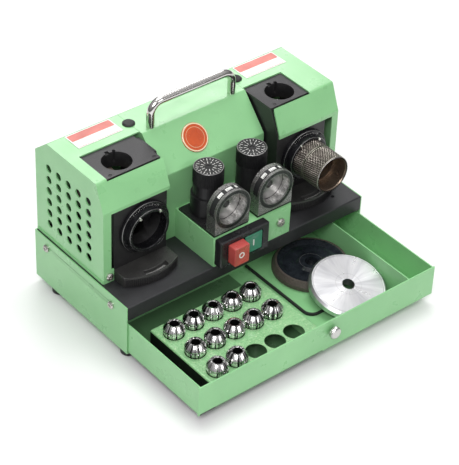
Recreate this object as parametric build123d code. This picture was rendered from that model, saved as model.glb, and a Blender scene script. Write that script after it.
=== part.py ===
from build123d import *
import os
from math import atan, cos, degrees, radians, sin

os.makedirs("parts", exist_ok=True)

# Bench drill-bit and end-mill sharpener: two grinding stations on one double-ended motor,
# a console with two setting gauges, and a tool drawer that slides under the table.
#
# Machine coordinates, in millimetres: X runs from the left wall of the base, Y is 0 on the
# back wall of the base and negative towards the user, Z is 0 on the underside of the base.
# save() moves every part into the row frame, whose origin is the bottom centre of the
# whole machine with its drawer open.

# ---- driving dimensions -------------------------------------------------------------------
BASE_W = 290.0          # base, side to side
BASE_D = 148.0          # base, back to front
BASE_H = 55.5           # base underside to table surface
BASE_WALL = 1.2
PLATE_T = 15.5          # thick steel table plate
FOOT_R, FOOT_H = 7.5, 9.0

TOP_Z = 165.0           # top of the covers
SHEET = 1.5             # cover sheet metal
COVER_X = 3.2           # covers stand in from the base sides
CHAMFER_Y, CHAMFER_Z = 19.0, 16.2       # sloping edge along the back of the covers
BAND_TOP_Y, BAND_LOW_Y, BAND_LOW_Z = -96.5, -107.7, 137.0   # leaning band over each opening
SLOPE_TOP_Y, SLOPE_LOW_Y, SLOPE_LOW_Z = -57.5, -88.4, 131.8  # sloping centre face
SEAM_L, SEAM_R = 84.0, 208.5            # joints between the three covers
SEAM_GAP = 0.15

STATION_PITCH = 194.3   # left station to right station, identical castings
STATION_X = (16.0, 77.0)
STATION_Y = (-56.0, -106.0)
GUIDE_X, GUIDE_Z = 50.0, 103.2         # axis of the front chuck guide
TOP_BORE_X, TOP_BORE_Y, TOP_BORE_R = 41.0, -76.8, 14.5
CHUCK_R = 19.6
RUNNING_FIT = 0.05                      # radial clearance of turning and sliding fits

MOTOR_Y, MOTOR_Z = -46.0, 104.0
STATOR_R, STATOR_X = 37.0, (103.0, 189.0)
SHAFT_R = 6.0
WHEEL_R, WHEEL_W = 38.0, 10.0
WHEEL_X = 40.0                          # inner edge of the left working wheel

CONSOLE_X = (101.3, 195.8)
CONSOLE_TOP = 88.5
GAUGE_X = (123.0, 175.5)                # centre lines of the two setting gauges
GAUGE_Z = 114.0
GAUGE_FRONT = -147.3
GAUGE_R, GAUGE_BORE = 21.0, 16.2

SWITCH_X = (102.3, 161.5)
SWITCH_Z = (57.5, 88.2)
SWITCH_OUT = 9.0

DRAWER_OUT = 106.0                      # how far the drawer stands open
PANEL_T = 1.6
DRAWER_SHEET = 1.2
DRAWER_LEN = 139.0
DRAWER_Z = (2.0, 35.6)
KNOB_L = 8.0
GLAND_OUT = 10.0

COLLET_PITCH_X, COLLET_PITCH_Y = 22.8, 32.0
COLLET_FIRST = (35.0, -174.0)
TRAY_TOP = 26.0
TRAY_HOLE_R = 10.1

FRONT_Y = -BASE_D - PANEL_T - DRAWER_OUT        # face of the open drawer's front panel
DRAWER_BACK = FRONT_Y + PANEL_T + DRAWER_LEN
TO_ROW = Pos(-BASE_W / 2, (KNOB_L - FRONT_Y - GLAND_OUT) / 2, FOOT_H)


# ---- small helpers ------------------------------------------------------------------------
def block(x, y, z):
    """Box between two limits along each axis."""
    size = [abs(b - a) for a, b in (x, y, z)]
    centre = [(a + b) / 2 for a, b in (x, y, z)]
    return Pos(*centre) * Box(*size)


def rod_x(x, y, z, r):
    return Pos((x[0] + x[1]) / 2, y, z) * Rot(0, 90, 0) * Cylinder(r, abs(x[1] - x[0]))


def rod_y(x, y, z, r):
    return Pos(x, (y[0] + y[1]) / 2, z) * Rot(90, 0, 0) * Cylinder(r, abs(y[1] - y[0]))


def rod_z(x, y, z, r):
    return Pos(x, y, (z[0] + z[1]) / 2) * Cylinder(r, abs(z[1] - z[0]))


def turned(points):
    """Solid of revolution about Z from (radius, height) points."""
    profile = make_face(Plane.XZ * Polyline(*points, close=True))
    return revolve(profile, Axis.Z, 360)


def along_x(shape, x, y, z):
    """Puts a part turned about Z on an axis along +X."""
    return Pos(x, y, z) * Rot(0, 90, 0) * shape


def along_front(shape, x, y, z):
    """Puts a part turned about Z on an axis towards the user, -Y."""
    return Pos(x, y, z) * Rot(90, 0, 0) * shape


def side_prism(points, x):
    """Prism along X from a (y, z) outline."""
    face = make_face(Plane.YZ * Polyline(*points, close=True))
    return Pos(x[0], 0, 0) * extrude(face, amount=x[1] - x[0], dir=(1, 0, 0))


def inset_outline(points, t):
    """The same (y, z) outline, t further in."""
    inner = offset(make_face(Polyline(*points, close=True)), amount=-t, kind=Kind.INTERSECTION)
    return Plane.YZ * inner


def pan_head(r=3.9, h=2.6, shank=8.0, thread_r=2.0):
    """Pan-head screw whose head stands on Z = 0 and whose shank goes down."""
    dome = turned([(0, -shank), (thread_r, -shank), (thread_r, 0), (r, 0), (r, h * 0.55),
                   (r * 0.72, h), (0, h)])
    return dome - block((-r * 0.62, r * 0.62), (-0.45, 0.45), (h - 1.0, h + 1)) \
        - block((-0.45, 0.45), (-r * 0.62, r * 0.62), (h - 1.0, h + 1))


def cap_screw(r=3.0, h=3.0, shank=8.0, thread_r=1.7):
    """Socket-head screw whose head stands on Z = 0."""
    body = turned([(0, -shank), (thread_r, -shank), (thread_r, 0), (r, 0), (r, h), (0, h)])
    socket = Pos(0, 0, h - 1.6) * extrude(RegularPolygon(r * 0.52, 6), amount=3)
    return body - socket


def save(shape, name):
    export_step(TO_ROW * shape, "parts/" + name + ".step")


def group(shapes):
    return Compound(children=list(shapes))


# ---- base -----------------------------------------------------------------------------------
SIDE_SCREWS = [(-19.8, 44.5), (-124.2, 44.5)]
PLATE_Z = (BASE_H - PLATE_T, BASE_H)


def base_shell():
    outer = block((0, BASE_W), (0, -BASE_D), (0, BASE_H))
    room = block((BASE_WALL, BASE_W - BASE_WALL), (-BASE_WALL, -BASE_D - 1), (BASE_WALL, BASE_H + 1))
    shell = outer - room
    for y, z in SIDE_SCREWS:
        shell -= rod_x((-1, BASE_W + 1), y, z, 2.2)
    for x, y in foot_places():
        shell -= rod_z(x, y, (-1, BASE_WALL + 1), 2.2)
    return shell


def foot_places():
    return [(x, y) for x in (9.5, BASE_W - 9.5) for y in (-26.0, -137.5)]


def feet():
    foot = turned([(0, -FOOT_H), (FOOT_R - 1.2, -FOOT_H), (FOOT_R, -FOOT_H + 1.4), (FOOT_R, 0),
                   (2.1, 0), (2.1, BASE_WALL), (0, BASE_WALL)])
    return group(Pos(x, y, 0) * foot for x, y in foot_places())


STOP_HOLE = (266.0, -130.9)


def table_plate():
    plate = block((BASE_WALL, BASE_W - BASE_WALL), (-BASE_WALL, -BASE_D), PLATE_Z)
    front_edge = plate.edges().filter_by(Axis.X).group_by(Axis.Y)[0].sort_by(Axis.Z)[-1]
    plate = chamfer(front_edge, 1.0)
    plate -= rod_z(*STOP_HOLE, PLATE_Z, 2.0)
    for y, z in SIDE_SCREWS:
        for x in ((0, 10), (BASE_W - 10, BASE_W)):
            plate -= rod_x(x, y, z, 2.1)
    return plate


def drawer_rails():
    rail_z = (BASE_WALL, DRAWER_Z[0] - 0.1)
    return group(block((x, x + 10), (-6, -BASE_D), rail_z) for x in (8.0, BASE_W - 18.0))


GLAND_X, GLAND_Z = 122.0, 74.0
GLAND_BORE = 4.0


def cable_gland():
    gland = turned([(GLAND_BORE, -9), (6.2, -9), (6.2, 0), (9.5, 0), (9.5, 3.5), (8.0, 4.2),
                    (6.4, GLAND_OUT - 0.8), (5.4, GLAND_OUT), (GLAND_BORE, GLAND_OUT)])
    return Pos(GLAND_X, 0, GLAND_Z) * Rot(-90, 0, 0) * gland


# ---- sheet-metal covers ---------------------------------------------------------------------
BACK_OUTLINE = [(0, BASE_H), (0, TOP_Z - CHAMFER_Z), (-CHAMFER_Y, TOP_Z)]
STATION_OUTLINE = BACK_OUTLINE + [(BAND_TOP_Y, TOP_Z), (BAND_LOW_Y, BAND_LOW_Z), (BAND_LOW_Y, BASE_H)]
CENTRE_OUTLINE = BACK_OUTLINE + [(SLOPE_TOP_Y, TOP_Z), (SLOPE_LOW_Y, SLOPE_LOW_Z), (SLOPE_LOW_Y, BASE_H)]
WINDOW_Y = (-53.3, -97.2)
OPENING_TOP = 133.4
POST_SCREW_Z = 62.5


def open_below(outline):
    """Lowers an outline's two bottom corners, so that the cover is open at the table."""
    low = BASE_H - 10
    return [(outline[0][0], low)] + outline[1:-1] + [(outline[-1][0], low)]


def cover_shell(outline, x, closed):
    """Bent-sheet cover; closed says which of its two ends has a wall."""
    solid = side_prism(outline, x)
    bends = solid.edges().filter_by(Axis.X).filter_by(lambda e: e.center().Z > BASE_H + 1)
    solid = fillet(bends, 2.4)
    ends = (x[0] + (SHEET if closed[0] else -1), x[1] - (SHEET if closed[1] else -1))
    inner = Pos(ends[0], 0, 0) * extrude(inset_outline(open_below(outline), SHEET),
                                         amount=ends[1] - ends[0], dir=(1, 0, 0))
    return solid - inner


def vents(x):
    """Five by six round holes through a side wall."""
    holes = []
    for column in range(5):
        for row in range(6):
            holes.append(rod_x(x, -21.5 - 15.7 * column, 138.0 - 12.9 * row, 4.3))
    return holes


def station_cover(x_outer, x_seam, window, opening, side_of_seam):
    """Cover over one grinding station; side_of_seam is +1 for the left cover, -1 for the right."""
    x = (min(x_outer, x_seam), max(x_outer, x_seam))
    cover = cover_shell(STATION_OUTLINE, x, (side_of_seam > 0, side_of_seam < 0))
    cover -= block(window, WINDOW_Y, (TOP_Z - 12, TOP_Z + 1))
    cover -= block(opening, (-60, -120), (BASE_H - 1, OPENING_TOP))
    past_band = (79.0, x_seam + 1) if side_of_seam > 0 else (x_seam - 1, 211.6)
    cover -= block(past_band, (-53.3, -120), (BASE_H - 1, TOP_Z + 1))
    wall = (x_outer - 1, x_outer + 3) if side_of_seam > 0 else (x_outer - 3, x_outer + 1)
    for hole in vents(wall):
        cover -= hole
    # screw tab at the foot of the outer post
    tab_x = (x_outer + 1, x_outer + 12) if side_of_seam > 0 else (x_outer - 12, x_outer - 1)
    cover += block(tab_x, (BAND_LOW_Y, BAND_LOW_Y + SHEET), (BASE_H, 69.0))
    cover -= rod_y(post_screw_x(x_outer, side_of_seam), (-100, -120), POST_SCREW_Z, 2.2)
    # hem along the foot of the side wall
    hem_x = (x_outer - 0.8, x_outer) if side_of_seam > 0 else (x_outer, x_outer + 0.8)
    return cover + block(hem_x, (-1.0, BAND_LOW_Y + 1.0), (BASE_H + 0.2, BASE_H + 2.8))


def post_screw_x(x_outer, side_of_seam):
    return x_outer + 6.6 * side_of_seam


COVER_XR = BASE_W - COVER_X


def left_cover():
    return station_cover(COVER_X, SEAM_L - SEAM_GAP, (15.4, SEAM_L + 1), (12.1, SEAM_L + 1), 1)


def right_cover():
    return station_cover(COVER_XR, SEAM_R + SEAM_GAP, (SEAM_R - 1, 256.6), (SEAM_R - 1, 279.3), -1)


HANDLE_X = (97.2, 194.6)
HANDLE_Y, HANDLE_R, HANDLE_Z = -53.2, 4.0, 190.5
HANDLE_BEND = 12.0
BADGE_X, BADGE_R = 135.0, 14.3


SHAFT_SLOT_R = 16.0


def centre_cover():
    cover = cover_shell(CENTRE_OUTLINE, (SEAM_L + SEAM_GAP, SEAM_R - SEAM_GAP), (True, True))
    # open slots in both end walls, so that the cover lifts off over the motor shaft
    slot_y = (MOTOR_Y - SHAFT_SLOT_R, MOTOR_Y + SHAFT_SLOT_R)
    cover -= block((SEAM_L - 1, SEAM_R + 1), slot_y, (BASE_H - 1, MOTOR_Z))
    cover -= rod_x((SEAM_L - 1, SEAM_R + 1), MOTOR_Y, MOTOR_Z, SHAFT_SLOT_R)
    cover -= rod_y(GLAND_X, (-5, 5), GLAND_Z, 6.25)
    for x in HANDLE_X:
        cover -= rod_z(x, HANDLE_Y, (TOP_Z - 5, TOP_Z + 5), 2.7)
    return cover


def blanking_plugs():
    plug = turned([(0, 0), (6.2, 0), (6.2, 0.9), (4.9, 2.0), (0, 2.3)])
    return group(Pos(x, -37.3, TOP_Z) * plug for x in (SEAM_L - 0.2, SEAM_R + 4.5))


def label_plates():
    left = block((22.6, 73.0), (-20.4, -43.2), (TOP_Z, TOP_Z + 0.4))
    return group([left, Pos(199.6, 0, 0) * left])


def round_badge():
    """Round plate flat on the sloping centre face."""
    plate = turned([(0, 0), (BADGE_R, 0), (BADGE_R, 0.7), (BADGE_R - 0.6, 1.1), (0, 1.1)])
    rise = (TOP_Z - SLOPE_LOW_Z) / (SLOPE_TOP_Y - SLOPE_LOW_Y)
    lean = degrees(atan(rise))
    middle_y = (SLOPE_TOP_Y + SLOPE_LOW_Y) / 2
    middle_z = (TOP_Z + SLOPE_LOW_Z) / 2
    return Pos(BADGE_X, middle_y, middle_z) * Rot(lean, 0, 0) * plate


def carry_handle():
    """Bent round bar with its feet on the top, each tapped from below."""
    top = HANDLE_Z
    foot_z = TOP_Z
    x0, x1 = HANDLE_X
    path = FilletPolyline((x0, HANDLE_Y, foot_z), (x0, HANDLE_Y, top), (x1, HANDLE_Y, top),
                          (x1, HANDLE_Y, foot_z), radius=HANDLE_BEND)
    bar = sweep(Plane(origin=(x0, HANDLE_Y, foot_z), z_dir=(0, 0, 1)) * Circle(HANDLE_R), path=path)
    for x in HANDLE_X:
        bar -= rod_z(x, HANDLE_Y, (foot_z, foot_z + 9), 2.1)
    return bar


def handle_screws():
    screw = turned([(0, 0), (3.5, 0), (3.5, 3.0), (2.0, 3.0), (2.0, 3.0 + SHEET + 6), (0, 3.0 + SHEET + 6)])
    return group(Pos(x, HANDLE_Y, TOP_Z - SHEET - 3.0) * screw for x in HANDLE_X)


# ---- grinding stations --------------------------------------------------------------------
CAVITY_X, CAVITY_Y, CAVITY_Z = (29.0, 61.0), (-55.0, -92.0), (61.0, 147.0)
PLATE_GAP = 0.1                         # top plate to the underside of the cover sheet
TOP_PLATE_T = 2.0
TOP_PLATE_Z = (TOP_Z - SHEET - PLATE_GAP - TOP_PLATE_T, TOP_Z - SHEET - PLATE_GAP)
TOP_PLATE_X, TOP_PLATE_Y = (15.2, 77.0), (-53.6, -95.0)
TOP_PLATE_HOLES = [(48.0, -62.5), (22.8, -91.6), (72.8, -91.4)]
BODY_TOP = TOP_PLATE_Z[0]
BODY_LEAN = (-95.0, 136.0)              # the front leans back above this height, behind the band
RIB_X = (77.0, 81.5)
LEDGE_H = 11.0
LEDGE_CENTRE, LEDGE_R = (48.5, -79.0), 53.5
SLOT_R, SLOT_TURN = (46.4, 51.8), 14.5  # curved slot in the ledge


def station_at(shape, right):
    return Pos(STATION_PITCH if right else 0, 0, 0) * shape


def front_profile(front):
    """Side outline of the casting, its front leaning back behind the cover's band."""
    lean = front - STATION_Y[1]
    return [(STATION_Y[0], BASE_H), (STATION_Y[0], BODY_TOP), (BODY_LEAN[0] + lean, BODY_TOP),
            (front, BODY_LEAN[1]), (front, BASE_H)]


def ledge():
    """Foot plate in front of the casting, with a curved front edge and a curved slot for its scale."""
    z = (BASE_H, BASE_H + LEDGE_H)
    foot = rod_z(*LEDGE_CENTRE, z, LEDGE_R)
    foot &= block(STATION_X, (STATION_Y[1], -150), z)
    slot_z = (z[1] - 4, z[1] + 1)
    slot = rod_z(*LEDGE_CENTRE, slot_z, SLOT_R[1]) - rod_z(*LEDGE_CENTRE, slot_z, SLOT_R[0])
    reach = LEDGE_R * sin(radians(SLOT_TURN))
    middle = LEDGE_CENTRE[0] + 1.0
    return foot - (slot & block((middle - reach, middle + reach), (STATION_Y[1] - 4, -150), slot_z))


def station_ledges():
    return group(station_at(ledge(), right) for right in (False, True))


def station_body():
    """Cast block with the wheel cavity and the two chuck guide bores."""
    body = side_prism(front_profile(STATION_Y[1]), STATION_X)
    body += side_prism(front_profile(STATION_Y[1] + 12), RIB_X)
    body -= block(CAVITY_X, CAVITY_Y, CAVITY_Z)
    body -= rod_y(GUIDE_X, (CAVITY_Y[1], -110), GUIDE_Z, CHUCK_R + RUNNING_FIT)
    body -= rod_z(TOP_BORE_X, TOP_BORE_Y, (CAVITY_Z[1], 170), TOP_BORE_R)
    for x, y in TOP_PLATE_HOLES:
        body -= rod_z(x, y, (BODY_TOP - 9, BODY_TOP + 1), 1.8)
    for x, z in ring_screw_places():
        body -= rod_y(x, (STATION_Y[1] - 1, STATION_Y[1] + 8), z, 1.3)
    return body


def top_plate():
    plate = block(TOP_PLATE_X, TOP_PLATE_Y, TOP_PLATE_Z)
    plate -= rod_z(TOP_BORE_X, TOP_BORE_Y, (160, 170), TOP_BORE_R)
    for x, y in TOP_PLATE_HOLES:
        plate -= rod_z(x, y, (160, 170), 1.8)
    # keyway notch beside the chuck bore
    keyway_y = (TOP_BORE_Y, TOP_BORE_Y + TOP_BORE_R + 3)
    return plate - block((TOP_BORE_X - 2, TOP_BORE_X + 2), keyway_y, (160, 170))


RING_R, RING_T, STEP_R, STEP_T = 27.4, 4.0, 23.0, 6.0
KEY_PIN_R = 1.4
RING_SCREW_R = 25.2


def ring_screw_places():
    places = []
    for turn in (45, 135, 225, 315):
        turn = radians(turn)
        places.append((GUIDE_X + RING_SCREW_R * cos(turn), GUIDE_Z + RING_SCREW_R * sin(turn)))
    return places


def guide_ring():
    """Stepped flange that guides the chuck into the station."""
    bore = CHUCK_R + RUNNING_FIT
    ring = turned([(bore, 0), (RING_R - 0.5, 0), (RING_R, 0.5), (RING_R, RING_T - 0.8),
                   (RING_R - 0.8, RING_T), (STEP_R, RING_T), (STEP_R, RING_T + STEP_T - 0.6), (STEP_R - 0.6, RING_T + STEP_T),
                   (bore + 0.6, RING_T + STEP_T), (bore, RING_T + STEP_T - 0.6)])
    ring = along_front(ring, GUIDE_X, STATION_Y[1], GUIDE_Z)
    for x, z in ring_screw_places():
        ring -= rod_y(x, (STATION_Y[1] - RING_T + 1.9, STATION_Y[1] - RING_T - 0.01), z, 2.0)
        ring -= rod_y(x, (STATION_Y[1] + 1, STATION_Y[1] - RING_T - 0.01), z, 1.3)
    face = STATION_Y[1] - RING_T - STEP_T
    for x, z in key_pin_places():
        ring -= rod_y(x, (face + 3, face - 1), z, KEY_PIN_R)
    return ring


def key_pin_places():
    reach = (STEP_R + CHUCK_R) / 2 + 0.1
    turn = radians(32)
    return [(GUIDE_X + side * reach * sin(turn), GUIDE_Z + reach * cos(turn)) for side in (-1, 1)]


def guide_pins():
    """Two bright locating pins in the face of each guide ring."""
    face = STATION_Y[1] - RING_T - STEP_T
    pins = []
    for right in (False, True):
        for x, z in key_pin_places():
            pins.append(station_at(rod_y(x, (face + 3, face - 1.4), z, KEY_PIN_R), right))
    return group(pins)


def station_screws():
    """Socket-head screws of both guide rings and both top plates, and the gauge stands."""
    screws = []
    ring_screw = cap_screw(r=1.9, h=1.8, shank=8.0, thread_r=1.2)
    plate_screw = turned([(0, -8), (1.7, -8), (1.7, 0.0), (0, 0.0)])
    for right in (False, True):
        for x, z in ring_screw_places():
            screws.append(station_at(along_front(ring_screw, x, STATION_Y[1] - RING_T + 1.9, z), right))
        for x, y in TOP_PLATE_HOLES[1:]:
            screws.append(station_at(Pos(x, y, TOP_PLATE_Z[1] - 0.3) * plate_screw, right))
    for x in GAUGE_X:
        screws.append(Pos(x + STAND_SCREW[0], STAND_SCREW[1], STAND_TOP) * cap_screw(2.0, 1.6, 7.0, 1.4))
    return group(screws)


# ---- motor and working wheels -----------------------------------------------------------------
BEARING_W, BEARING_R = 9.0, 13.0
BELL_T = 12.0
SHAFT_X = (WHEEL_X - 12.0, STATION_PITCH + WHEEL_X + WHEEL_W + 16.0)
ROTOR_R = 20.0


def motor_stator():
    """Ribbed stator housing with a round bore for the rotor."""
    ring = rod_x(STATOR_X, MOTOR_Y, MOTOR_Z, STATOR_R - 2)
    for rib in range(24):
        turn = Pos(0, MOTOR_Y, MOTOR_Z) * Rot(rib * 15.0, 0, 0)
        ring += turn * block((STATOR_X[0] + 4, STATOR_X[1] - 4), (STATOR_R - 3, STATOR_R), (-0.9, 0.9))
    return ring - rod_x((STATOR_X[0] - 1, STATOR_X[1] + 1), MOTOR_Y, MOTOR_Z, ROTOR_R + 0.5)


def end_bell():
    """Motor end shield with a bearing seat, turned about Z with its flange at Z = 0."""
    return turned([(SHAFT_R + 1.5, -BELL_T), (15.5, -BELL_T), (18.0, -5.0), (STATOR_R - 2, -5.0),
                   (STATOR_R - 2, 0), (BEARING_R, 0), (BEARING_R, -BEARING_W), (SHAFT_R + 1.5, -BEARING_W)])


def end_bells():
    left = along_x(end_bell(), STATOR_X[0], MOTOR_Y, MOTOR_Z)
    right = Pos(STATOR_X[1], MOTOR_Y, MOTOR_Z) * Rot(0, -90, 0) * end_bell()
    return group([left, right])


def motor_bearings():
    """Ball bearings, each as one ring with a shielded face."""
    ring = turned([(SHAFT_R + RUNNING_FIT, 0), (BEARING_R - 0.02, 0), (BEARING_R - 0.02, -BEARING_W + 0.1),
                   (SHAFT_R + RUNNING_FIT, -BEARING_W + 0.1)])
    left = along_x(ring, STATOR_X[0] - 0.02, MOTOR_Y, MOTOR_Z)
    right = Pos(STATOR_X[1] + 0.02, MOTOR_Y, MOTOR_Z) * Rot(0, -90, 0) * ring
    return group([left, right])


def motor_cradle():
    """Foot bracket that holds the stator to the table plate."""
    foot = block((112, 180), (MOTOR_Y - 30, MOTOR_Y + 30), (BASE_H, BASE_H + 4))
    for x in (118.0, 168.0):
        foot += block((x, x + 6), (MOTOR_Y - 24, MOTOR_Y + 24), (BASE_H + 4, MOTOR_Z - 12))
    return foot - rod_x((100, 200), MOTOR_Y, MOTOR_Z, STATOR_R + 0.1)


def rotor_shaft():
    """Double-ended shaft with a shoulder beside each wheel."""
    shaft = rod_x(SHAFT_X, MOTOR_Y, MOTOR_Z, SHAFT_R)
    left_shoulder = (WHEEL_X + WHEEL_W, WHEEL_X + WHEEL_W + 6)
    right_wheel = WHEEL_X + STATION_PITCH
    for x in (left_shoulder, (right_wheel - 6, right_wheel)):
        shaft += rod_x(x, MOTOR_Y, MOTOR_Z, 13.0)
    return shaft


def rotor_core():
    core = rod_x((STATOR_X[0] + 12, STATOR_X[1] - 12), MOTOR_Y, MOTOR_Z, ROTOR_R)
    return core - rod_x((STATOR_X[0], STATOR_X[1]), MOTOR_Y, MOTOR_Z, SHAFT_R)


def working_wheel():
    """Dished grinding wheel, turned about Z, hub towards Z = 0."""
    return turned([(SHAFT_R, 0), (WHEEL_R, 0), (WHEEL_R, WHEEL_W), (WHEEL_R - 9, WHEEL_W),
                   (WHEEL_R - 14, WHEEL_W - 4.0), (13.0, WHEEL_W - 4.0), (SHAFT_R, WHEEL_W - 4.0)])


def working_wheels():
    left = Pos(WHEEL_X + WHEEL_W, MOTOR_Y, MOTOR_Z) * Rot(0, -90, 0) * working_wheel()
    right = along_x(working_wheel(), WHEEL_X + STATION_PITCH, MOTOR_Y, MOTOR_Z)
    return left, right


def wheel_nuts():
    nut = extrude(RegularPolygon(10.5, 6), amount=6.0) - Cylinder(SHAFT_R, 20)
    left = Pos(WHEEL_X + 4.0, MOTOR_Y, MOTOR_Z) * Rot(0, -90, 0) * nut
    right = along_x(nut, WHEEL_X + STATION_PITCH + WHEEL_W - 4.0, MOTOR_Y, MOTOR_Z)
    return group([left, right])


# ---- console, switch and setting gauges -----------------------------------------------------
STAND_T = 2.6
STAND_TOP = CONSOLE_TOP + STAND_T
CONSOLE_BACK = SLOPE_LOW_Y
CONSOLE_SCREW = (182.3, 72.4)


def console_box():
    box = block(CONSOLE_X, (CONSOLE_BACK, -BASE_D), (BASE_H, CONSOLE_TOP))
    uprights = box.edges().filter_by(Axis.Z).group_by(Axis.Y)[0]
    box = fillet(uprights, 1.6)
    inside = block((CONSOLE_X[0] + SHEET, CONSOLE_X[1] - SHEET), (CONSOLE_BACK + 1, -BASE_D + SHEET),
                   (BASE_H - 1, CONSOLE_TOP - SHEET))
    box -= inside
    box -= block((SWITCH_X[0] + 4, SWITCH_X[1] - 4), (-BASE_D - 2, -BASE_D + 5), (SWITCH_Z[0] + 4, SWITCH_Z[1] - 4))
    box -= rod_y(CONSOLE_SCREW[0], (-BASE_D - 2, -BASE_D + 5), CONSOLE_SCREW[1], 2.2)
    for x in GAUGE_X:
        box -= rod_z(x + STAND_SCREW[0], STAND_SCREW[1], (CONSOLE_TOP - 5, CONSOLE_TOP + 1), 1.5)
    return box


def run_capacitor():
    can = turned([(0, 0), (12.5, 0), (13, 0.5), (13, 49), (12, 50), (4, 50), (4, 53), (0, 53)])
    return along_x(can, 118, -110, 72)


def pan_head_screws():
    """Pan heads of the base sides, the cover posts and the console."""
    screws = []
    for y, z in SIDE_SCREWS:
        screws.append(Pos(0, y, z) * Rot(0, -90, 0) * pan_head())
        screws.append(Pos(BASE_W, y, z) * Rot(0, 90, 0) * pan_head())
    for x_outer, side in ((COVER_X, 1), (COVER_XR, -1)):
        screws.append(along_front(pan_head(shank=5.0), post_screw_x(x_outer, side), BAND_LOW_Y, POST_SCREW_Z))
    screws.append(along_front(pan_head(r=4.6, h=3.2, shank=6.0), CONSOLE_SCREW[0], -BASE_D, CONSOLE_SCREW[1]))
    return group(screws)


BUTTON_Z = (62.0, 83.0)
STOP_X, START_X = (111.6, 129.4), (131.2, 152.4)
STOP_PROUD, START_PROUD = 9.5, 0.6
BUTTON_GAP = 0.3


def switch_housing():
    """Switch body let into the console front, with two wells for the buttons."""
    front = -BASE_D - SWITCH_OUT
    box = block(SWITCH_X, (-BASE_D, front), SWITCH_Z)
    box = fillet(box.edges().filter_by(Axis.Y), 2.0)
    rim = box.faces().sort_by(Axis.Y)[0].edges()
    box = chamfer(rim, 1.2)
    box += block((SWITCH_X[0] + 4.2, SWITCH_X[1] - 4.2), (-BASE_D + 12, -BASE_D), (SWITCH_Z[0] + 4.2, SWITCH_Z[1] - 4.2))
    for x in (STOP_X, START_X):
        well = (x[0] - BUTTON_GAP, x[1] + BUTTON_GAP)
        box -= block(well, (front - 1, front + 12), (BUTTON_Z[0] - BUTTON_GAP, BUTTON_Z[1] + BUTTON_GAP))
    return box


def push_button(x, proud):
    front = -BASE_D - SWITCH_OUT
    key = block(x, (front - proud, front + 6.5), BUTTON_Z)
    return fillet(key.faces().sort_by(Axis.Y)[0].edges(), 0.8)


POST_Y, POST_R, POST_TOP = -109.5, 14.4, 134.0
COLLAR_R, COLLAR_TOP = 16.4, 112.0      # wider foot of the left post
DIAL_R, DIAL_T = 15.0, 7.5
SPINDLE_R = 3.0
RING_BACK, GAUGE_FLOOR = -134.0, -137.0
STOP_R = 3.0
STAND_W = 41.0
STAND_SCREW = (-17.6, -127.5)
BAND_Y = (-138.6, -144.6)
BAND_LOW = GAUGE_Z - 2.0


def gauge_stand(collar_r):
    """Foot plate with the upright post, about X = 0."""
    stand = block((-STAND_W / 2, STAND_W / 2), (-92.0, -BASE_D + 2.2), (CONSOLE_TOP, STAND_TOP))
    stand += rod_z(0, POST_Y, (STAND_TOP, POST_TOP), POST_R)
    stand += rod_z(0, POST_Y, (STAND_TOP, COLLAR_TOP), collar_r)
    stand -= rod_z(0, POST_Y, (POST_TOP - 10, POST_TOP + 1), SPINDLE_R + RUNNING_FIT)
    stand -= rod_y(0, (POST_Y - 30, POST_Y + 12), GAUGE_Z, STOP_R + RUNNING_FIT)
    return stand - rod_z(*STAND_SCREW, (CONSOLE_TOP - 1, STAND_TOP + 1), 1.5)


def gauge_ring():
    """Pedestal and socket ring that a chuck is pushed into from the front."""
    body = rod_y(0, (GAUGE_FRONT, RING_BACK), GAUGE_Z, GAUGE_R)
    body += block((-STAND_W / 2, STAND_W / 2), (GAUGE_FRONT + 0.6, RING_BACK), (STAND_TOP, GAUGE_Z))
    body -= rod_y(0, (GAUGE_FRONT - 1, GAUGE_FLOOR), GAUGE_Z, GAUGE_BORE)
    body -= rod_y(0, (GAUGE_FRONT, POST_Y), GAUGE_Z, STOP_R + 1.0)
    # groove for the graduated band
    groove = rod_y(0, (BAND_Y[0], BAND_Y[1]), GAUGE_Z, GAUGE_R + 2)
    groove -= rod_y(0, (BAND_Y[0] + 1, BAND_Y[1] - 1), GAUGE_Z, GAUGE_R - 1.2)
    groove -= block((-40, 40), (-160, -120), (0, BAND_LOW))
    return body - groove


def gauge_band():
    """Bright graduated band round the upper half of the ring."""
    band = rod_y(0, BAND_Y, GAUGE_Z, GAUGE_R + 0.3) - rod_y(0, (-120, -160), GAUGE_Z, GAUGE_R - 1.2)
    band -= block((-40, 40), (-160, -120), (0, BAND_LOW))
    for turn in range(-60, 61, 30):
        band -= Pos(0, 0, GAUGE_Z) * Rot(0, turn, 0) * block((-1.0, 1.0), (-141.0, -130), (GAUGE_R - 0.5, 30))
    return band


def gauge_dial():
    """Dial cap with a fluted rim and its spindle."""
    dial = turned([(0, -9), (SPINDLE_R, -9), (SPINDLE_R, 0.15), (DIAL_R - 0.8, 0.15), (DIAL_R, 0.9),
                   (DIAL_R, DIAL_T - 0.8), (DIAL_R - 0.8, DIAL_T), (0, DIAL_T)])
    for flute in range(24):
        dial -= Rot(0, 0, flute * 15.0) * Pos(DIAL_R + 0.5, 0, DIAL_T / 2) * Cylinder(1.0, DIAL_T + 2)
    return Pos(0, POST_Y, POST_TOP) * dial


def gauge_stop():
    """Stop rod that the dial moves along the socket's axis."""
    return rod_y(0, (POST_Y + 7, GAUGE_FLOOR), GAUGE_Z, STOP_R)


# ---- chuck in the right station -----------------------------------------------------------------
CHUCK_X = GUIDE_X + STATION_PITCH
CHUCK_BACK, CHUCK_SPLIT, CHUCK_MOUTH = -96.0, -128.0, -151.0
CHUCK_BORE = 17.25


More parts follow.
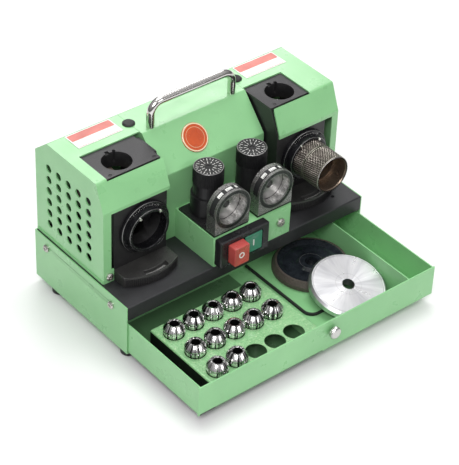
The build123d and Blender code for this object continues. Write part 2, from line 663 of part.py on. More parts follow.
def chuck_body():
    """Knurled chuck body, sliding in the guide ring; hollow from the back end of its cap."""
    length = CHUCK_BACK - CHUCK_SPLIT
    body = turned([(8.0, 0), (15.0, 0), (CHUCK_R, 3.0), (CHUCK_R, length - 0.6), (CHUCK_R - 0.6, length),
                   (17.2, length), (17.2, length + 7.0), (14.0, length + 7.0), (14.0, 18.0), (8.0, 10.5)])
    return along_front(body, CHUCK_X, CHUCK_BACK, GUIDE_Z)


def chuck_cap():
    """Screwed clamping cap with a wide mouth."""
    length = CHUCK_SPLIT - CHUCK_MOUTH - 0.3
    cap = turned([(CHUCK_BORE, 0), (CHUCK_R - 0.6, 0), (CHUCK_R, 0.6), (CHUCK_R, length - 1.0),
                  (CHUCK_R - 1.0, length), (CHUCK_R - 1.4, length), (CHUCK_BORE, length - 1.6)])
    return along_front(cap, CHUCK_X, CHUCK_SPLIT - 0.3, GUIDE_Z)


def chuck_collet():
    """Collet clamped inside the chuck."""
    collet = turned([(3.2, 1.0), (7.9, 1.0), (7.9, 11.0), (13.0, 19.0), (13.0, 27.0), (9.0, 30.5), (3.2, 30.5)])
    return along_front(collet, CHUCK_X, CHUCK_BACK, GUIDE_Z)


# ---- drawer and what it holds ---------------------------------------------------------------
DRAWER_X = (1.6, BASE_W - 1.6)
DIVIDER_X, DIVIDER_TOP = 256.2, 35.0
FLOOR_TOP = DRAWER_Z[0] + DRAWER_SHEET
KNOB_X, KNOB_Z = 158.0, 23.0


def drawer_body():
    inner_front = FRONT_Y + PANEL_T
    body = block(DRAWER_X, (DRAWER_BACK, inner_front), DRAWER_Z)
    body -= block((DRAWER_X[0] + DRAWER_SHEET, DRAWER_X[1] - DRAWER_SHEET),
                  (DRAWER_BACK - DRAWER_SHEET, inner_front), (FLOOR_TOP, 60))
    body += block((0, BASE_W), (inner_front, FRONT_Y), DRAWER_Z)
    return body - rod_y(KNOB_X, (FRONT_Y - 1, inner_front + 1), KNOB_Z, 2.1)


def drawer_divider():
    wall = block((DIVIDER_X, DIVIDER_X + DRAWER_SHEET), (DRAWER_BACK - DRAWER_SHEET, FRONT_Y + PANEL_T),
                 (FLOOR_TOP, DIVIDER_TOP))
    return wall + block((DIVIDER_X + DRAWER_SHEET, DIVIDER_X + 9), (DRAWER_BACK - DRAWER_SHEET, FRONT_Y + PANEL_T),
                        (FLOOR_TOP, FLOOR_TOP + DRAWER_SHEET))


def drawer_knob():
    knob = turned([(0, -4), (2.0, -4), (2.0, 0), (4.2, 0), (4.2, 2.2), (6.2, 4.2), (6.2, 6.2), (5.2, 7.4),
                   (2.0, KNOB_L), (0, KNOB_L)])
    return along_front(knob, KNOB_X, FRONT_Y, KNOB_Z)


def collet_places():
    """The fifteen holes, row by row from the back."""
    rows = []
    for row in range(3):
        y = COLLET_FIRST[1] - COLLET_PITCH_Y * row
        rows.append([(COLLET_FIRST[0] + COLLET_PITCH_X * column, y) for column in range(5)])
    return rows


TRAY_X, TRAY_Y = (20.0, 148.5), (-157.5, -251.5)


def collet_tray():
    """Folded sheet tray on two legs, with fifteen collet holes."""
    tray = block(TRAY_X, TRAY_Y, (FLOOR_TOP, TRAY_TOP))
    tray = fillet(tray.edges().filter_by(Axis.Y).group_by(Axis.Z)[-1], 1.6)
    tray -= block((TRAY_X[0] + DRAWER_SHEET, TRAY_X[1] - DRAWER_SHEET), (TRAY_Y[0] + 1, TRAY_Y[1] - 1),
                  (0, TRAY_TOP - DRAWER_SHEET))
    for row in collet_places():
        for x, y in row:
            tray -= rod_z(x, y, (TRAY_TOP - 5, TRAY_TOP + 5), TRAY_HOLE_R)
    return tray


LINER_X, LINER_Y, LINER_TOP = (170.0, DIVIDER_X - 1.0), (DRAWER_BACK - DRAWER_SHEET - 0.5, -213.0), 6.5


def wheel_tray():
    """Low raised sheet that the spare wheels lie on, with one rounded front corner."""
    plate = block(LINER_X, LINER_Y, (LINER_TOP - DRAWER_SHEET, LINER_TOP))
    corner = plate.edges().filter_by(Axis.Z).group_by(Axis.Y)[0].sort_by(Axis.X)[0]
    plate = fillet(corner, 9.0)
    for x in (LINER_X[0] + 12, LINER_X[1] - 16):
        plate += block((x, x + 4), (LINER_Y[0] - 6, LINER_Y[1] + 14), (FLOOR_TOP, LINER_TOP - DRAWER_SHEET))
    return plate


def collet():
    """Taper collet standing nose up, Z = 0 on the tray's top surface."""
    below = TRAY_TOP - FLOOR_TOP - 1.2
    return turned([(2.2, -below), (6.9, -below), (9.6, -0.2), (10.4, 3.4), (10.4, 4.6), (9.3, 4.9), (9.3, 6.2),
                   (10.4, 6.5), (10.4, 7.3), (6.6, 12.5), (4.9, 12.5), (4.3, 11.0), (4.3, -4.0), (2.2, -6.0)])


def collet_row(row, count):
    return group(Pos(x, y, TRAY_TOP) * collet() for x, y in collet_places()[row][:count])


SPARE_R, SPARE_T, SPARE_HUB = 39.0, 10.0, 6.35
LIGHT_R, LIGHT_T = 38.6, 9.0
DARK_WHEEL = (216.7, -159.4)
LIGHT_WHEEL = (217.3, -213.0)
LEAN = 14.4             # the light wheel leans on the dark one


def dark_wheel():
    """Flanged spare wheel lying flat, with its rim chamfered and its face dished."""
    wheel = turned([(SPARE_HUB, 0), (SPARE_R - 1, 0), (SPARE_R, 1), (SPARE_R, 5.0), (SPARE_R - 3.0, SPARE_T),
                    (SPARE_R - 6.5, SPARE_T), (SPARE_R - 11, SPARE_T - 3.0), (15.0, SPARE_T - 3.0),
                    (12.0, SPARE_T - 1.0), (SPARE_HUB, SPARE_T - 1.0)])
    return Pos(*DARK_WHEEL, LINER_TOP) * wheel


def light_wheel():
    """Spare wheel whose back edge rests on the dark wheel and front edge on the drawer floor."""
    wheel = turned([(SPARE_HUB, -LIGHT_T), (LIGHT_R - 1.6, -LIGHT_T), (LIGHT_R, -LIGHT_T + 1.6), (LIGHT_R, -2.2),
                    (LIGHT_R - 2.2, 0), (SPARE_HUB, 0)])
    rise = sin(radians(LEAN)) * (LIGHT_R - 1.6) + cos(radians(LEAN)) * LIGHT_T
    return Pos(*LIGHT_WHEEL, FLOOR_TOP + rise + 0.4) * Rot(LEAN, 0, 0) * wheel


# ---- write every part -----------------------------------------------------------------------
save(base_shell(), "base_shell")
save(feet(), "rubber_feet")
save(table_plate(), "table_plate")
save(drawer_rails(), "drawer_rails")
save(cable_gland(), "cable_gland")
save(left_cover(), "left_cover")
save(centre_cover(), "centre_cover")
save(right_cover(), "right_cover")
save(blanking_plugs(), "blanking_plugs")
save(label_plates(), "label_plates")
save(round_badge(), "round_badge")
save(carry_handle(), "carry_handle")
save(handle_screws(), "handle_screws")
save(pan_head_screws(), "pan_head_screws")

for side, right in (("left", False), ("right", True)):
    save(station_at(station_body(), right), side + "_station_body")
    save(station_at(top_plate(), right), side + "_top_plate")
    save(station_at(guide_ring(), right), side + "_guide_ring")
save(station_ledges(), "station_ledges")
save(guide_pins(), "guide_pins")
save(station_screws(), "station_screws")

save(motor_stator(), "motor_stator")
save(end_bells(), "motor_end_bells")
save(motor_bearings(), "motor_bearings")
save(motor_cradle(), "motor_cradle")
save(rotor_shaft(), "rotor_shaft")
save(rotor_core(), "rotor_core")
for side, wheel in zip(("left", "right"), working_wheels()):
    save(wheel, side + "_grinding_wheel")
save(wheel_nuts(), "wheel_nuts")
save(run_capacitor(), "run_capacitor")

save(console_box(), "console_box")
save(switch_housing(), "switch_housing")
save(push_button(STOP_X, STOP_PROUD), "stop_button")
save(push_button(START_X, START_PROUD), "start_button")
for side, x, collar_r in zip(("left", "right"), GAUGE_X, (COLLAR_R, POST_R)):
    save(Pos(x, 0, 0) * gauge_stand(collar_r), side + "_gauge_stand")
    save(Pos(x, 0, 0) * gauge_ring(), side + "_gauge_ring")
    save(Pos(x, 0, 0) * gauge_band(), side + "_gauge_band")
    save(Pos(x, 0, 0) * gauge_dial(), side + "_gauge_dial")
    save(Pos(x, 0, 0) * gauge_stop(), side + "_gauge_stop")

save(chuck_body(), "chuck_body")
save(chuck_cap(), "chuck_cap")
save(chuck_collet(), "chuck_collet")

save(drawer_body(), "drawer_body")
save(drawer_divider(), "drawer_divider")
save(drawer_knob(), "drawer_knob")
save(collet_tray(), "collet_tray")
save(wheel_tray(), "wheel_tray")
for row, (name, count) in enumerate((("back", 5), ("middle", 5), ("front", 2))):
    save(collet_row(row, count), name + "_collets")
save(dark_wheel(), "spare_wheel_dark")
save(light_wheel(), "spare_wheel_light")
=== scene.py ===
"""Looks of a bench drill bit sharpener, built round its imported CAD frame."""
import math
import random

import bpy
from mathutils import Matrix, Vector


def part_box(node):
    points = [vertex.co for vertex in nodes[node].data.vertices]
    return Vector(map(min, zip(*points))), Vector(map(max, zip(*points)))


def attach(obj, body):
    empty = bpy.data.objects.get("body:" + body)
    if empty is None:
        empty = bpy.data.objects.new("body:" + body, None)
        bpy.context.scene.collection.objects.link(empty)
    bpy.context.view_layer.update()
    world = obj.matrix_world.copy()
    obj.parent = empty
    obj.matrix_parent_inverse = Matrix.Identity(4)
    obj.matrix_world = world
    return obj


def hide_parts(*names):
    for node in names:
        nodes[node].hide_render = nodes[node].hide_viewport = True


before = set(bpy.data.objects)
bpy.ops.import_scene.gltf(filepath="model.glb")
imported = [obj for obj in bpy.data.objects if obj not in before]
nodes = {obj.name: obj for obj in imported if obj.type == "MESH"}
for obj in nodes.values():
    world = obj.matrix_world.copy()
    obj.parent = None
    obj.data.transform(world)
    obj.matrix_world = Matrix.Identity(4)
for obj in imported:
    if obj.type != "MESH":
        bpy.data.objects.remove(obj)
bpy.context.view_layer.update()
MM = 0.001


# ---- materials ------------------------------------------------------------------------------
class Finish:
    """One material: a Principled shader with helpers that add texture nodes in object space."""

    def __init__(self, name, **sockets):
        self.material = bpy.data.materials.new(name)
        self.material.use_nodes = True
        self.tree = self.material.node_tree
        self.shader = self.tree.nodes["Principled BSDF"]
        self.place = self.tree.nodes.new("ShaderNodeTexCoord").outputs["Object"]
        self.height = None
        for key, value in sockets.items():
            self.shader.inputs[key.replace("_", " ")].default_value = value

    @classmethod
    def reopen(cls, material):
        """Goes on working on a finished material."""
        f = cls.__new__(cls)
        f.material, f.tree = material, material.node_tree
        f.shader = f.tree.nodes["Principled BSDF"]
        f.place = f.tree.nodes.new("ShaderNodeTexCoord").outputs["Object"]
        f.height = None
        return f

    def put(self, socket, value):
        if hasattr(value, "is_linked"):
            self.tree.links.new(value, socket)
        else:
            socket.default_value = value

    def node(self, kind, inputs=(), **settings):
        made = self.tree.nodes.new(kind)
        for key, value in settings.items():
            setattr(made, key, value)
        for key, value in dict(inputs).items():
            self.put(made.inputs[key], value)
        return made

    def stretched(self, scale=(1, 1, 1), turn=(0, 0, 0), move=(0, 0, 0)):
        made = self.node("ShaderNodeMapping", {"Vector": self.place})
        made.inputs["Scale"].default_value = scale
        made.inputs["Rotation"].default_value = turn
        made.inputs["Location"].default_value = move
        return made.outputs["Vector"]

    def noise(self, scale, detail=3.0, rough=0.55, vector=None):
        made = self.node("ShaderNodeTexNoise", {"Vector": vector or self.place, "Scale": scale,
                                                "Detail": detail, "Roughness": rough})
        return made.outputs["Fac"]

    def cells(self, scale):
        """Distance to the nearest of many scattered points."""
        return self.node("ShaderNodeTexVoronoi", {"Vector": self.place, "Scale": scale}).outputs["Distance"]

    def calc(self, operation, a, b=0.0):
        made = self.node("ShaderNodeMath", operation=operation)
        self.put(made.inputs[0], a)
        self.put(made.inputs[1], b)
        return made.outputs[0]

    def hypot(self, a, b):
        """Length of a vector that has two parts."""
        return self.calc("SQRT", self.calc("ADD", self.calc("MULTIPLY", a, a), self.calc("MULTIPLY", b, b)))

    def wave(self, value, pitch_mm):
        """Sine of a length, with one full turn for each pitch."""
        return self.calc("SINE", self.calc("MULTIPLY", value, math.tau / (pitch_mm * MM)))

    def rays(self, turn, along, scale, detail, rough):
        """Streaks round an axis: turn is the angle about it and along changes them slowly."""
        ring = self.node("ShaderNodeCombineXYZ", {"X": self.calc("COSINE", turn),
                                                  "Y": self.calc("SINE", turn), "Z": along})
        return self.noise(scale, detail, rough, ring.outputs[0])

    def spread(self, value, low, high, to_low=0.0, to_high=1.0):
        made = self.node("ShaderNodeMapRange", {"Value": value, "From Min": low, "From Max": high,
                                                "To Min": to_low, "To Max": to_high})
        return made.outputs["Result"]

    def between(self, factor, a, b):
        made = self.node("ShaderNodeMix", data_type="RGBA")
        self.put(made.inputs[0], factor)
        self.put(made.inputs[6], a if hasattr(a, "is_linked") else (*a, 1.0))
        self.put(made.inputs[7], b if hasattr(b, "is_linked") else (*b, 1.0))
        return made.outputs[2]

    def over(self, base, mask, share, colour):
        """The base with a share of another colour where the mask is 1."""
        return self.between(self.calc("MULTIPLY", mask, share), base, colour)

    def split(self, vector=None):
        return self.node("ShaderNodeSeparateXYZ", {"Vector": vector or self.place}).outputs

    def away(self, point, vector=None):
        """Distance from a point."""
        made = self.node("ShaderNodeVectorMath", operation="DISTANCE")
        self.put(made.inputs[0], vector or self.place)
        made.inputs[1].default_value = point
        return made.outputs["Value"]

    def colour(self, value):
        self.put(self.shader.inputs["Base Color"], value if hasattr(value, "is_linked") else (*value, 1.0))

    def rough(self, value):
        self.put(self.shader.inputs["Roughness"], value)

    def bump(self, height, depth_mm, strength=1.0):
        made = self.node("ShaderNodeBump", {"Height": height, "Strength": strength,
                                            "Distance": depth_mm * MM})
        if self.height is not None:
            self.tree.links.new(self.height, made.inputs["Normal"])
        self.height = made.outputs["Normal"]
        self.tree.links.new(self.height, self.shader.inputs["Normal"])

    def band(self, value, low, high, soft):
        """1 between low and high, fading over soft."""
        up = self.spread(value, low - soft, low + soft)
        down = self.spread(value, high - soft, high + soft, 1.0, 0.0)
        return self.calc("MULTIPLY", up, down)


def shade(colour, k):
    """A colour k times as bright."""
    return tuple(min(1.0, c * k) for c in colour)


def enamel(name, light, deep, speck=0.5):
    """Glossy stoved enamel: orange peel, faint cloudiness, dust specks and rubbed patches."""
    f = Finish(name, Coat_Weight=0.35, Coat_Roughness=0.12, IOR=1.5)
    cloud = f.spread(f.noise(14.0, 4.0), 0.3, 0.7)
    base = f.between(cloud, light, deep)
    grime = f.spread(f.noise(70.0, 6.0, 0.7), 0.58, 0.78)
    base = f.over(base, grime, 0.22, shade(deep, 0.55))
    specks = f.spread(f.cells(420.0), 0.0, 0.11, 1.0, 0.0)
    few = f.spread(f.noise(55.0, 2.0), 0.5, 0.62)
    base = f.over(base, f.calc("MULTIPLY", specks, few), speck, (0.75, 0.82, 0.7))
    f.colour(base)
    f.rough(f.spread(f.noise(40.0, 5.0), 0.3, 0.7, 0.24, 0.42))
    f.bump(f.noise(520.0, 2.0, 0.4), 0.05, 0.35)
    f.bump(f.noise(26.0, 2.0), 0.25, 0.12)
    return f.material


def drawer_enamel(name, light, deep, dark_where, speckle=0.0):
    """Enamel of the drawer, with painted shade: near black where dark_where(finish) marks."""
    material = enamel(name, light, deep, 0.9)
    f = Finish.reopen(material)
    base = f.shader.inputs["Base Color"].links[0].from_socket
    if speckle:
        base = f.over(base, f.spread(f.noise(640.0, 3.0, 0.85), 0.54, 0.64), speckle, (0.66, 0.80, 0.50))
        dull = f.noise(520.0, 3.0, 0.85, f.stretched(move=(0.3, 0.1, 0.2)))
        base = f.over(base, f.spread(dull, 0.57, 0.67), speckle, (0.05, 0.17, 0.06))
    # painted shade: the parts that dark_where marks go near black
    f.colour(f.between(dark_where(f), base, (0.006, 0.008, 0.006)))
    return material


def blackened(name, dark, light, metal, rough, grain=900.0, along=(1, 1, 1)):
    """Blackened steel or casting: fine grain, oily clouds, hairline scratches and rubbed bare spots."""
    f = Finish(name, Metallic=metal, IOR=1.6)
    fine = f.noise(grain, 3.0, 0.7, f.stretched(along))
    cloud = f.noise(18.0, 5.0, 0.6)
    base = f.between(f.spread(fine, 0.35, 0.7), dark, light)
    base = f.over(base, f.spread(cloud, 0.45, 0.75), 0.5, shade(light, 1.6))
    scratch = f.spread(f.noise(160.0, 2.0, 0.5, f.stretched((1, 26, 1), (0, 0, 0.35))), 0.70, 0.73)
    base = f.over(base, scratch, 0.18, (0.22, 0.22, 0.23))
    worn = f.spread(f.cells(260.0), 0.0, 0.09, 1.0, 0.0)
    worn = f.calc("MULTIPLY", worn, f.spread(f.noise(30.0, 3.0), 0.52, 0.66))
    f.colour(f.over(base, worn, 0.4, (0.36, 0.35, 0.34)))
    f.rough(f.spread(cloud, 0.3, 0.7, rough - 0.1, rough + 0.12))
    f.bump(fine, 0.05, 0.4)
    return f.material


def turned_steel(name, colour, metal, rough, axis, centre, pitch_mm=0.35, depth_mm=0.02, crest=None):
    """Lathe-turned metal: concentric tool marks about an axis through a point, with their crests' colour."""
    f = Finish(name, Metallic=metal)
    flat = {"x": (0, 1, 1), "y": (1, 0, 1), "z": (1, 1, 0)}[axis]
    near = f.stretched(flat, move=tuple(-c * k for c, k in zip(centre, flat)))
    reach = f.away((0, 0, 0), near)
    wobble = f.calc("MULTIPLY", f.noise(60.0, 2.0), 0.0004)
    wave = f.wave(f.calc("ADD", reach, wobble), pitch_mm)
    tint = f.between(f.spread(f.noise(45.0, 4.0), 0.3, 0.7), colour, shade(colour, 0.72))
    f.colour(f.over(tint, f.spread(wave, -1, 1), 0.25, crest or shade(colour, 1.35)))
    f.rough(f.spread(f.noise(80.0, 4.0), 0.3, 0.7, rough - 0.05, rough + 0.09))
    f.bump(wave, depth_mm, 0.5)
    f.bump(f.noise(900.0, 2.0), 0.01, 0.3)
    return f.material


def bright(name, colour, rough, smear=0.06, along=(1, 1, 1)):
    """Polished or plated metal with faint smears and hairlines."""
    f = Finish(name, Metallic=1.0)
    smears = f.noise(30.0, 5.0, 0.65)
    hair = f.noise(260.0, 3.0, 0.6, f.stretched(along))
    f.colour(f.between(f.spread(smears, 0.35, 0.7), colour, shade(colour, 0.8)))
    patches = f.spread(smears, 0.3, 0.7, rough - smear / 2, rough + smear)
    f.rough(f.calc("ADD", patches, f.calc("MULTIPLY", hair, 0.05)))
    f.bump(hair, 0.006, 0.4)
    return f.material


def moulded(name, colour, rough, grain=700.0, depth_mm=0.02, coat=0.0):
    """Moulded plastic or rubber: fine spark texture, slight mottling and dust."""
    f = Finish(name, IOR=1.48, Coat_Weight=coat, Coat_Roughness=0.1)
    fine = f.noise(grain, 2.0, 0.6)
    mottle = f.noise(35.0, 4.0)
    base = f.between(f.spread(mottle, 0.35, 0.7), colour, shade(colour, 0.78))
    dust = f.spread(f.noise(220.0, 5.0, 0.8), 0.62, 0.8)
    f.colour(f.over(base, dust, 0.18, tuple(min(1.0, c * 0.8 + 0.14) for c in colour)))
    f.rough(f.spread(mottle, 0.3, 0.7, rough - 0.06, rough + 0.08))
    f.bump(fine, depth_mm, 0.4)
    return f.material


def mid(node):
    low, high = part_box(node)
    return (low + high) / 2


tray_low, tray_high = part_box("collet_tray")
drawer_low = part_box("drawer_body")[0]
SHEET = 1.2                             # thickness of the drawer's sheet, mm
FLOOR_TOP = drawer_low.z + SHEET * MM


def channel(f):
    """Painted shade on the drawer's floor left of the collet tray, weaker painted shade below the tray, and
    the light wheel's painted shadow.
    """
    x, _, z = f.split()
    # painted shade in the gap left of the tray, and weaker under the tray
    left = f.spread(x, tray_low.x, tray_low.x + 1.0 * MM, 1.0, 0.0)
    below = f.spread(x, tray_high.x - 1.0 * MM, tray_high.x, 0.72, 0.0)
    # painted shadow of the light wheel on the floor in front of the wheel tray
    spot = f.spread(f.away(mid("spare_wheel_light")), 0.028, 0.036, 0.85, 0.0)
    painted_shade = f.calc("MAXIMUM", f.calc("MAXIMUM", left, below), spot)
    inner = f.spread(x, drawer_low.x + 1.5 * MM, drawer_low.x + 2.0 * MM)
    on_floor = f.spread(z, FLOOR_TOP + 0.2 * MM, FLOOR_TOP + 0.6 * MM, 1.0, 0.0)
    return f.calc("MULTIPLY", f.calc("MULTIPLY", painted_shade, inner), on_floor)


def tray_side(f):
    """Painted shade on the folded left and right sides of the collet tray, below its top face."""
    x, _, z = f.split()
    # painted shade: the tray's sides go near black
    left = f.spread(x, tray_low.x + 0.3 * MM, tray_low.x + 0.5 * MM, 1.0, 0.0)
    right = f.spread(x, tray_high.x - 0.5 * MM, tray_high.x - 0.3 * MM)
    under_face = f.spread(z, tray_high.z - 2.0 * MM, tray_high.z - 1.6 * MM, 1.0, 0.0)
    return f.calc("MULTIPLY", f.calc("ADD", left, right), under_face)


def under_wheels(f):
    """Painted shade on the wheel tray below the spare wheels, where it shows dark through their bores."""
    # painted shade in a disc under each wheel's bore
    dark, light = (f.spread(f.away(mid(wheel)), 0.010, 0.024, 1.0, 0.0)
                   for wheel in ("spare_wheel_dark", "spare_wheel_light"))
    return f.calc("MAXIMUM", dark, light)


M = {
    "green": enamel("green_enamel", (0.274, 0.588, 0.274), (0.236, 0.525, 0.240)),
    "drawer_green": drawer_enamel("green_enamel_drawer", (0.270, 0.590, 0.270), (0.228, 0.520, 0.232),
                                  channel),
    "tray_green": drawer_enamel("green_enamel_tray", (0.275, 0.545, 0.262), (0.190, 0.430, 0.190),
                                tray_side, 0.6),
    "liner_green": drawer_enamel("green_enamel_liner", (0.262, 0.585, 0.262), (0.220, 0.515, 0.225),
                                 under_wheels),
    "plate": blackened("black_plate", (0.014, 0.014, 0.016), (0.034, 0.034, 0.037), 0.3, 0.48, 1100.0,
                       (1, 3, 1)),
    "top_plate": blackened("black_top_plate", (0.022, 0.021, 0.023), (0.052, 0.050, 0.052), 0.35, 0.5,
                           1300.0),
    "casting": blackened("black_casting", (0.012, 0.012, 0.013), (0.034, 0.033, 0.034), 0.4, 0.40, 1400.0),
    "ledge": blackened("black_ledge", (0.026, 0.026, 0.026), (0.075, 0.073, 0.070), 0.4, 0.42, 1400.0),
    "zinc": bright("zinc_screw", (0.62, 0.60, 0.57), 0.26),
    "steel": bright("bright_steel", (0.66, 0.65, 0.64), 0.22),
    "chrome": bright("chrome_bar", (0.80, 0.78, 0.76), 0.10, 0.07, (1, 30, 30)),
    "worn_edge": bright("worn_edge", (0.24, 0.237, 0.235), 0.34),
    "mark_steel": bright("polished_rim", (0.84, 0.81, 0.78), 0.34),
    "dial": moulded("dial_black", (0.004, 0.004, 0.005), 0.52, 900.0, 0.015),
    "bore": moulded("dark_bore", (0.012, 0.012, 0.013), 0.55),
    "rubber": moulded("black_rubber", (0.020, 0.020, 0.021), 0.62, 500.0, 0.05),
    "nylon": moulded("black_nylon", (0.022, 0.022, 0.024), 0.42),
    "switch": moulded("switch_black", (0.014, 0.014, 0.016), 0.27, 650.0, 0.012, 0.15),
    "red": moulded("button_red", (0.50, 0.075, 0.066), 0.30, 650.0, 0.01, 0.3),
    "green_key": moulded("button_green", (0.028, 0.215, 0.125), 0.30, 650.0, 0.01, 0.3),
    "mark": moulded("mark_white", (0.80, 0.80, 0.77), 0.45),
    "can": moulded("capacitor_can", (0.62, 0.62, 0.58), 0.35),
    "motor": blackened("motor_grey", (0.11, 0.115, 0.12), (0.19, 0.195, 0.20), 0.3, 0.5),
    "grit": blackened("abrasive", (0.16, 0.125, 0.095), (0.36, 0.30, 0.24), 0.0, 0.85, 1500.0),
    "core": turned_steel("rotor_core", (0.38, 0.38, 0.39), 0.9, 0.38, "x", mid("rotor_core"), 0.7, 0.05),
    "shaft": turned_steel("shaft_steel", (0.6, 0.6, 0.6), 1.0, 0.25, "x", mid("rotor_shaft")),
    "chuck_collet": turned_steel("chuck_collet_steel", (0.42, 0.38, 0.34), 1.0, 0.28, "y", mid("chuck_cap")),
    "film": moulded("label_film", (0.80, 0.79, 0.76), 0.38, 600.0, 0.006, 0.2),
    "red_print": moulded("label_red", (0.62, 0.13, 0.095), 0.36, 600.0, 0.006, 0.2),
}


# ---- mesh helpers ---------------------------------------------------------------------------
def link(name, verts, faces, material, body, slot=None, replaced=(), smooth=30.0):
    mesh = bpy.data.meshes.new(name)
    mesh.from_pydata([tuple(v) for v in verts], [], faces)
    mesh.validate()
    mesh.materials.append(material)
    mesh.polygons.foreach_set("use_smooth", [True] * len(mesh.polygons))
    mesh.set_sharp_from_angle(angle=math.radians(smooth))
    mesh.update()
    piece = bpy.data.objects.new(name, mesh)
    bpy.context.scene.collection.objects.link(piece)
    if body:
        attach(piece, body)
    if replaced:
        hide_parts(*replaced)
    return piece


class Shape:
    """Collects vertices and faces of several closed shells for one piece."""

    def __init__(self):
        self.verts = []
        self.faces = []

    def add(self, verts, faces, matrix=None):
        start = len(self.verts)
        self.verts += [(matrix @ Vector(v)) if matrix else Vector(v) for v in verts]
        self.faces += [[start + i for i in face] for face in faces]

    def lathe(self, profile, matrix, segments=96, radius=None):
        """Closed turned shell. The profile is (radius, height) in mm, up the outside and down the bore."""
        verts, faces, rings = [], [], []
        for row, (r, h) in enumerate(profile):
            if r == 0:
                rings.append([len(verts)] * segments)
                verts.append((0, 0, h * MM))
                continue
            ring = []
            for k in range(segments):
                a = math.tau * k / segments
                rr = radius(r, h, a, row) if radius else r
                ring.append(len(verts))
                verts.append((rr * math.cos(a) * MM, rr * math.sin(a) * MM, h * MM))
            rings.append(ring)
        closed = profile[0][0] > 0 and profile[-1][0] > 0
        count = len(rings)
        for i in range(count if closed else count - 1):
            a, b = rings[i], rings[(i + 1) % count]
            for k in range(segments):
                n = (k + 1) % segments
                face = []
                for v in (a[k], a[n], b[n], b[k]):
                    if v not in face:
                        face.append(v)
                if len(face) > 2:
                    faces.append(face)
        self.add(verts, faces, matrix)

    def box(self, low, high, matrix=None):
        (x0, y0, z0), (x1, y1, z1) = low, high
        verts = [(x * MM, y * MM, z * MM) for x in (x0, x1) for y in (y0, y1) for z in (z0, z1)]
        faces = [(0, 1, 3, 2), (4, 6, 7, 5), (0, 4, 5, 1), (2, 3, 7, 6), (0, 2, 6, 4), (1, 5, 7, 3)]
        self.add(verts, faces, matrix)

    def prism(self, outline, z0, z1, matrix=None):
        """Straight prism on a counter-clockwise outline in mm."""
        n = len(outline)
        verts = [(x * MM, y * MM, z * MM) for z in (z0, z1) for x, y in outline]
        faces = [tuple(reversed(range(n))), tuple(range(n, 2 * n))]
        faces += [(k, (k + 1) % n, n + (k + 1) % n, n + k) for k in range(n)]
        self.add(verts, faces, matrix)

    def piece(self, name, material, body, **more):
        return link(name, self.verts, self.faces, material, body, **more)


UP = Matrix.Identity(4)
FRONT = Matrix.Rotation(math.radians(90), 4, "X")       # local Z becomes -Y


def at(point, turn=UP):
    return Matrix.Translation(Vector(point)) @ turn


def arc_strip(r0, r1, a0, a1, steps=24):
    """Outline of a ring segment in degrees, counter-clockwise."""
    turns = [math.radians(a0 + (a1 - a0) * k / steps) for k in range(steps + 1)]
    return ([(r1 * math.cos(a), r1 * math.sin(a)) for a in turns]
            + [(r0 * math.cos(a), r0 * math.sin(a)) for a in reversed(turns)])


def rounded(w, h, r, steps=6):
    """Counter-clockwise rounded rectangle about the origin."""
    points = []
    for cx, cy, start in ((w / 2 - r, h / 2 - r, 0), (-w / 2 + r, h / 2 - r, 90),
                          (-w / 2 + r, -h / 2 + r, 180), (w / 2 - r, -h / 2 + r, 270)):
        for k in range(steps + 1):
            a = math.radians(start + 90 * k / steps)
            points.append((cx + r * math.cos(a), cy + r * math.sin(a)))
    return points


# ---- materials of the CAD nodes -------------------------------------------------------------
def dress(node, material):
    mesh = nodes[node].data
    mesh.materials.clear()
    mesh.materials.append(material)


def soften(node, width_mm):
    """Rounds the sharp sheet and plate edges of a CAD node without touching its mesh."""
    piece = nodes[node]
    weld = piece.modifiers.new("weld", "WELD")
    weld.merge_threshold = 0.01 * MM
    edge = piece.modifiers.new("edge", "BEVEL")
    edge.width = width_mm * MM
    edge.segments = 2
    edge.limit_method = "ANGLE"
    edge.angle_limit = math.radians(40)
    edge.harden_normals = True


LOOKS = {
    "green": ("base_shell", "left_cover", "centre_cover", "right_cover", "console_box"),
    "drawer_green": ("drawer_body", "drawer_divider"),
    "liner_green": ("wheel_tray",),
    "tray_green": ("collet_tray",),
    "plate": ("table_plate",),
    "top_plate": ("left_top_plate", "right_top_plate"),
    "casting": ("left_station_body", "right_station_body", "left_gauge_stop", "right_gauge_stop"),
    "ledge": ("station_ledges",),
    "mark_steel": ("guide_pins",),
    "bore": ("station_screws",),
    "zinc": ("pan_head_screws",),
    "chrome": ("carry_handle",),
    "steel": ("handle_screws", "drawer_rails", "motor_bearings", "wheel_nuts"),
    "rubber": ("rubber_feet", "blanking_plugs"),
    "nylon": ("cable_gland",),
    "switch": ("switch_housing",),
    "motor": ("motor_stator", "motor_end_bells", "motor_cradle"),
    "core": ("rotor_core",),
    "shaft": ("rotor_shaft",),
    "grit": ("left_grinding_wheel", "right_grinding_wheel"),
    "can": ("run_capacitor",),
    "chuck_collet": ("chuck_collet",),
    "film": ("label_plates",),
}
for look, dressed in LOOKS.items():
    for name in dressed:
        dress(name, M[look])
for side in ("left", "right"):
    dress(side + "_guide_ring",
          turned_steel(side + "_ring_black", (0.010, 0.010, 0.012), 0.3, 0.22, "y", mid(side + "_guide_ring"),
                       0.5, 0.02, (0.022, 0.022, 0.026)))
    dress(side + "_gauge_stand",
          turned_steel(side + "_post_black", (0.014, 0.014, 0.015), 0.4, 0.36, "z", mid(side + "_gauge_dial"),
                       0.6, 0.03, (0.040, 0.040, 0.042)))

SOFT_EDGES = {                          # width of the rounded edges in mm
    0.35: ("base_shell", "left_cover", "centre_cover", "right_cover", "console_box", "drawer_body",
           "drawer_divider", "collet_tray"),
    0.5: ("table_plate", "left_station_body", "right_station_body", "station_ledges"),
    0.3: ("left_top_plate", "right_top_plate", "left_gauge_stand", "right_gauge_stand", "switch_housing"),
}
for width, rounded_nodes in SOFT_EDGES.items():
    for name in rounded_nodes:
        soften(name, width)


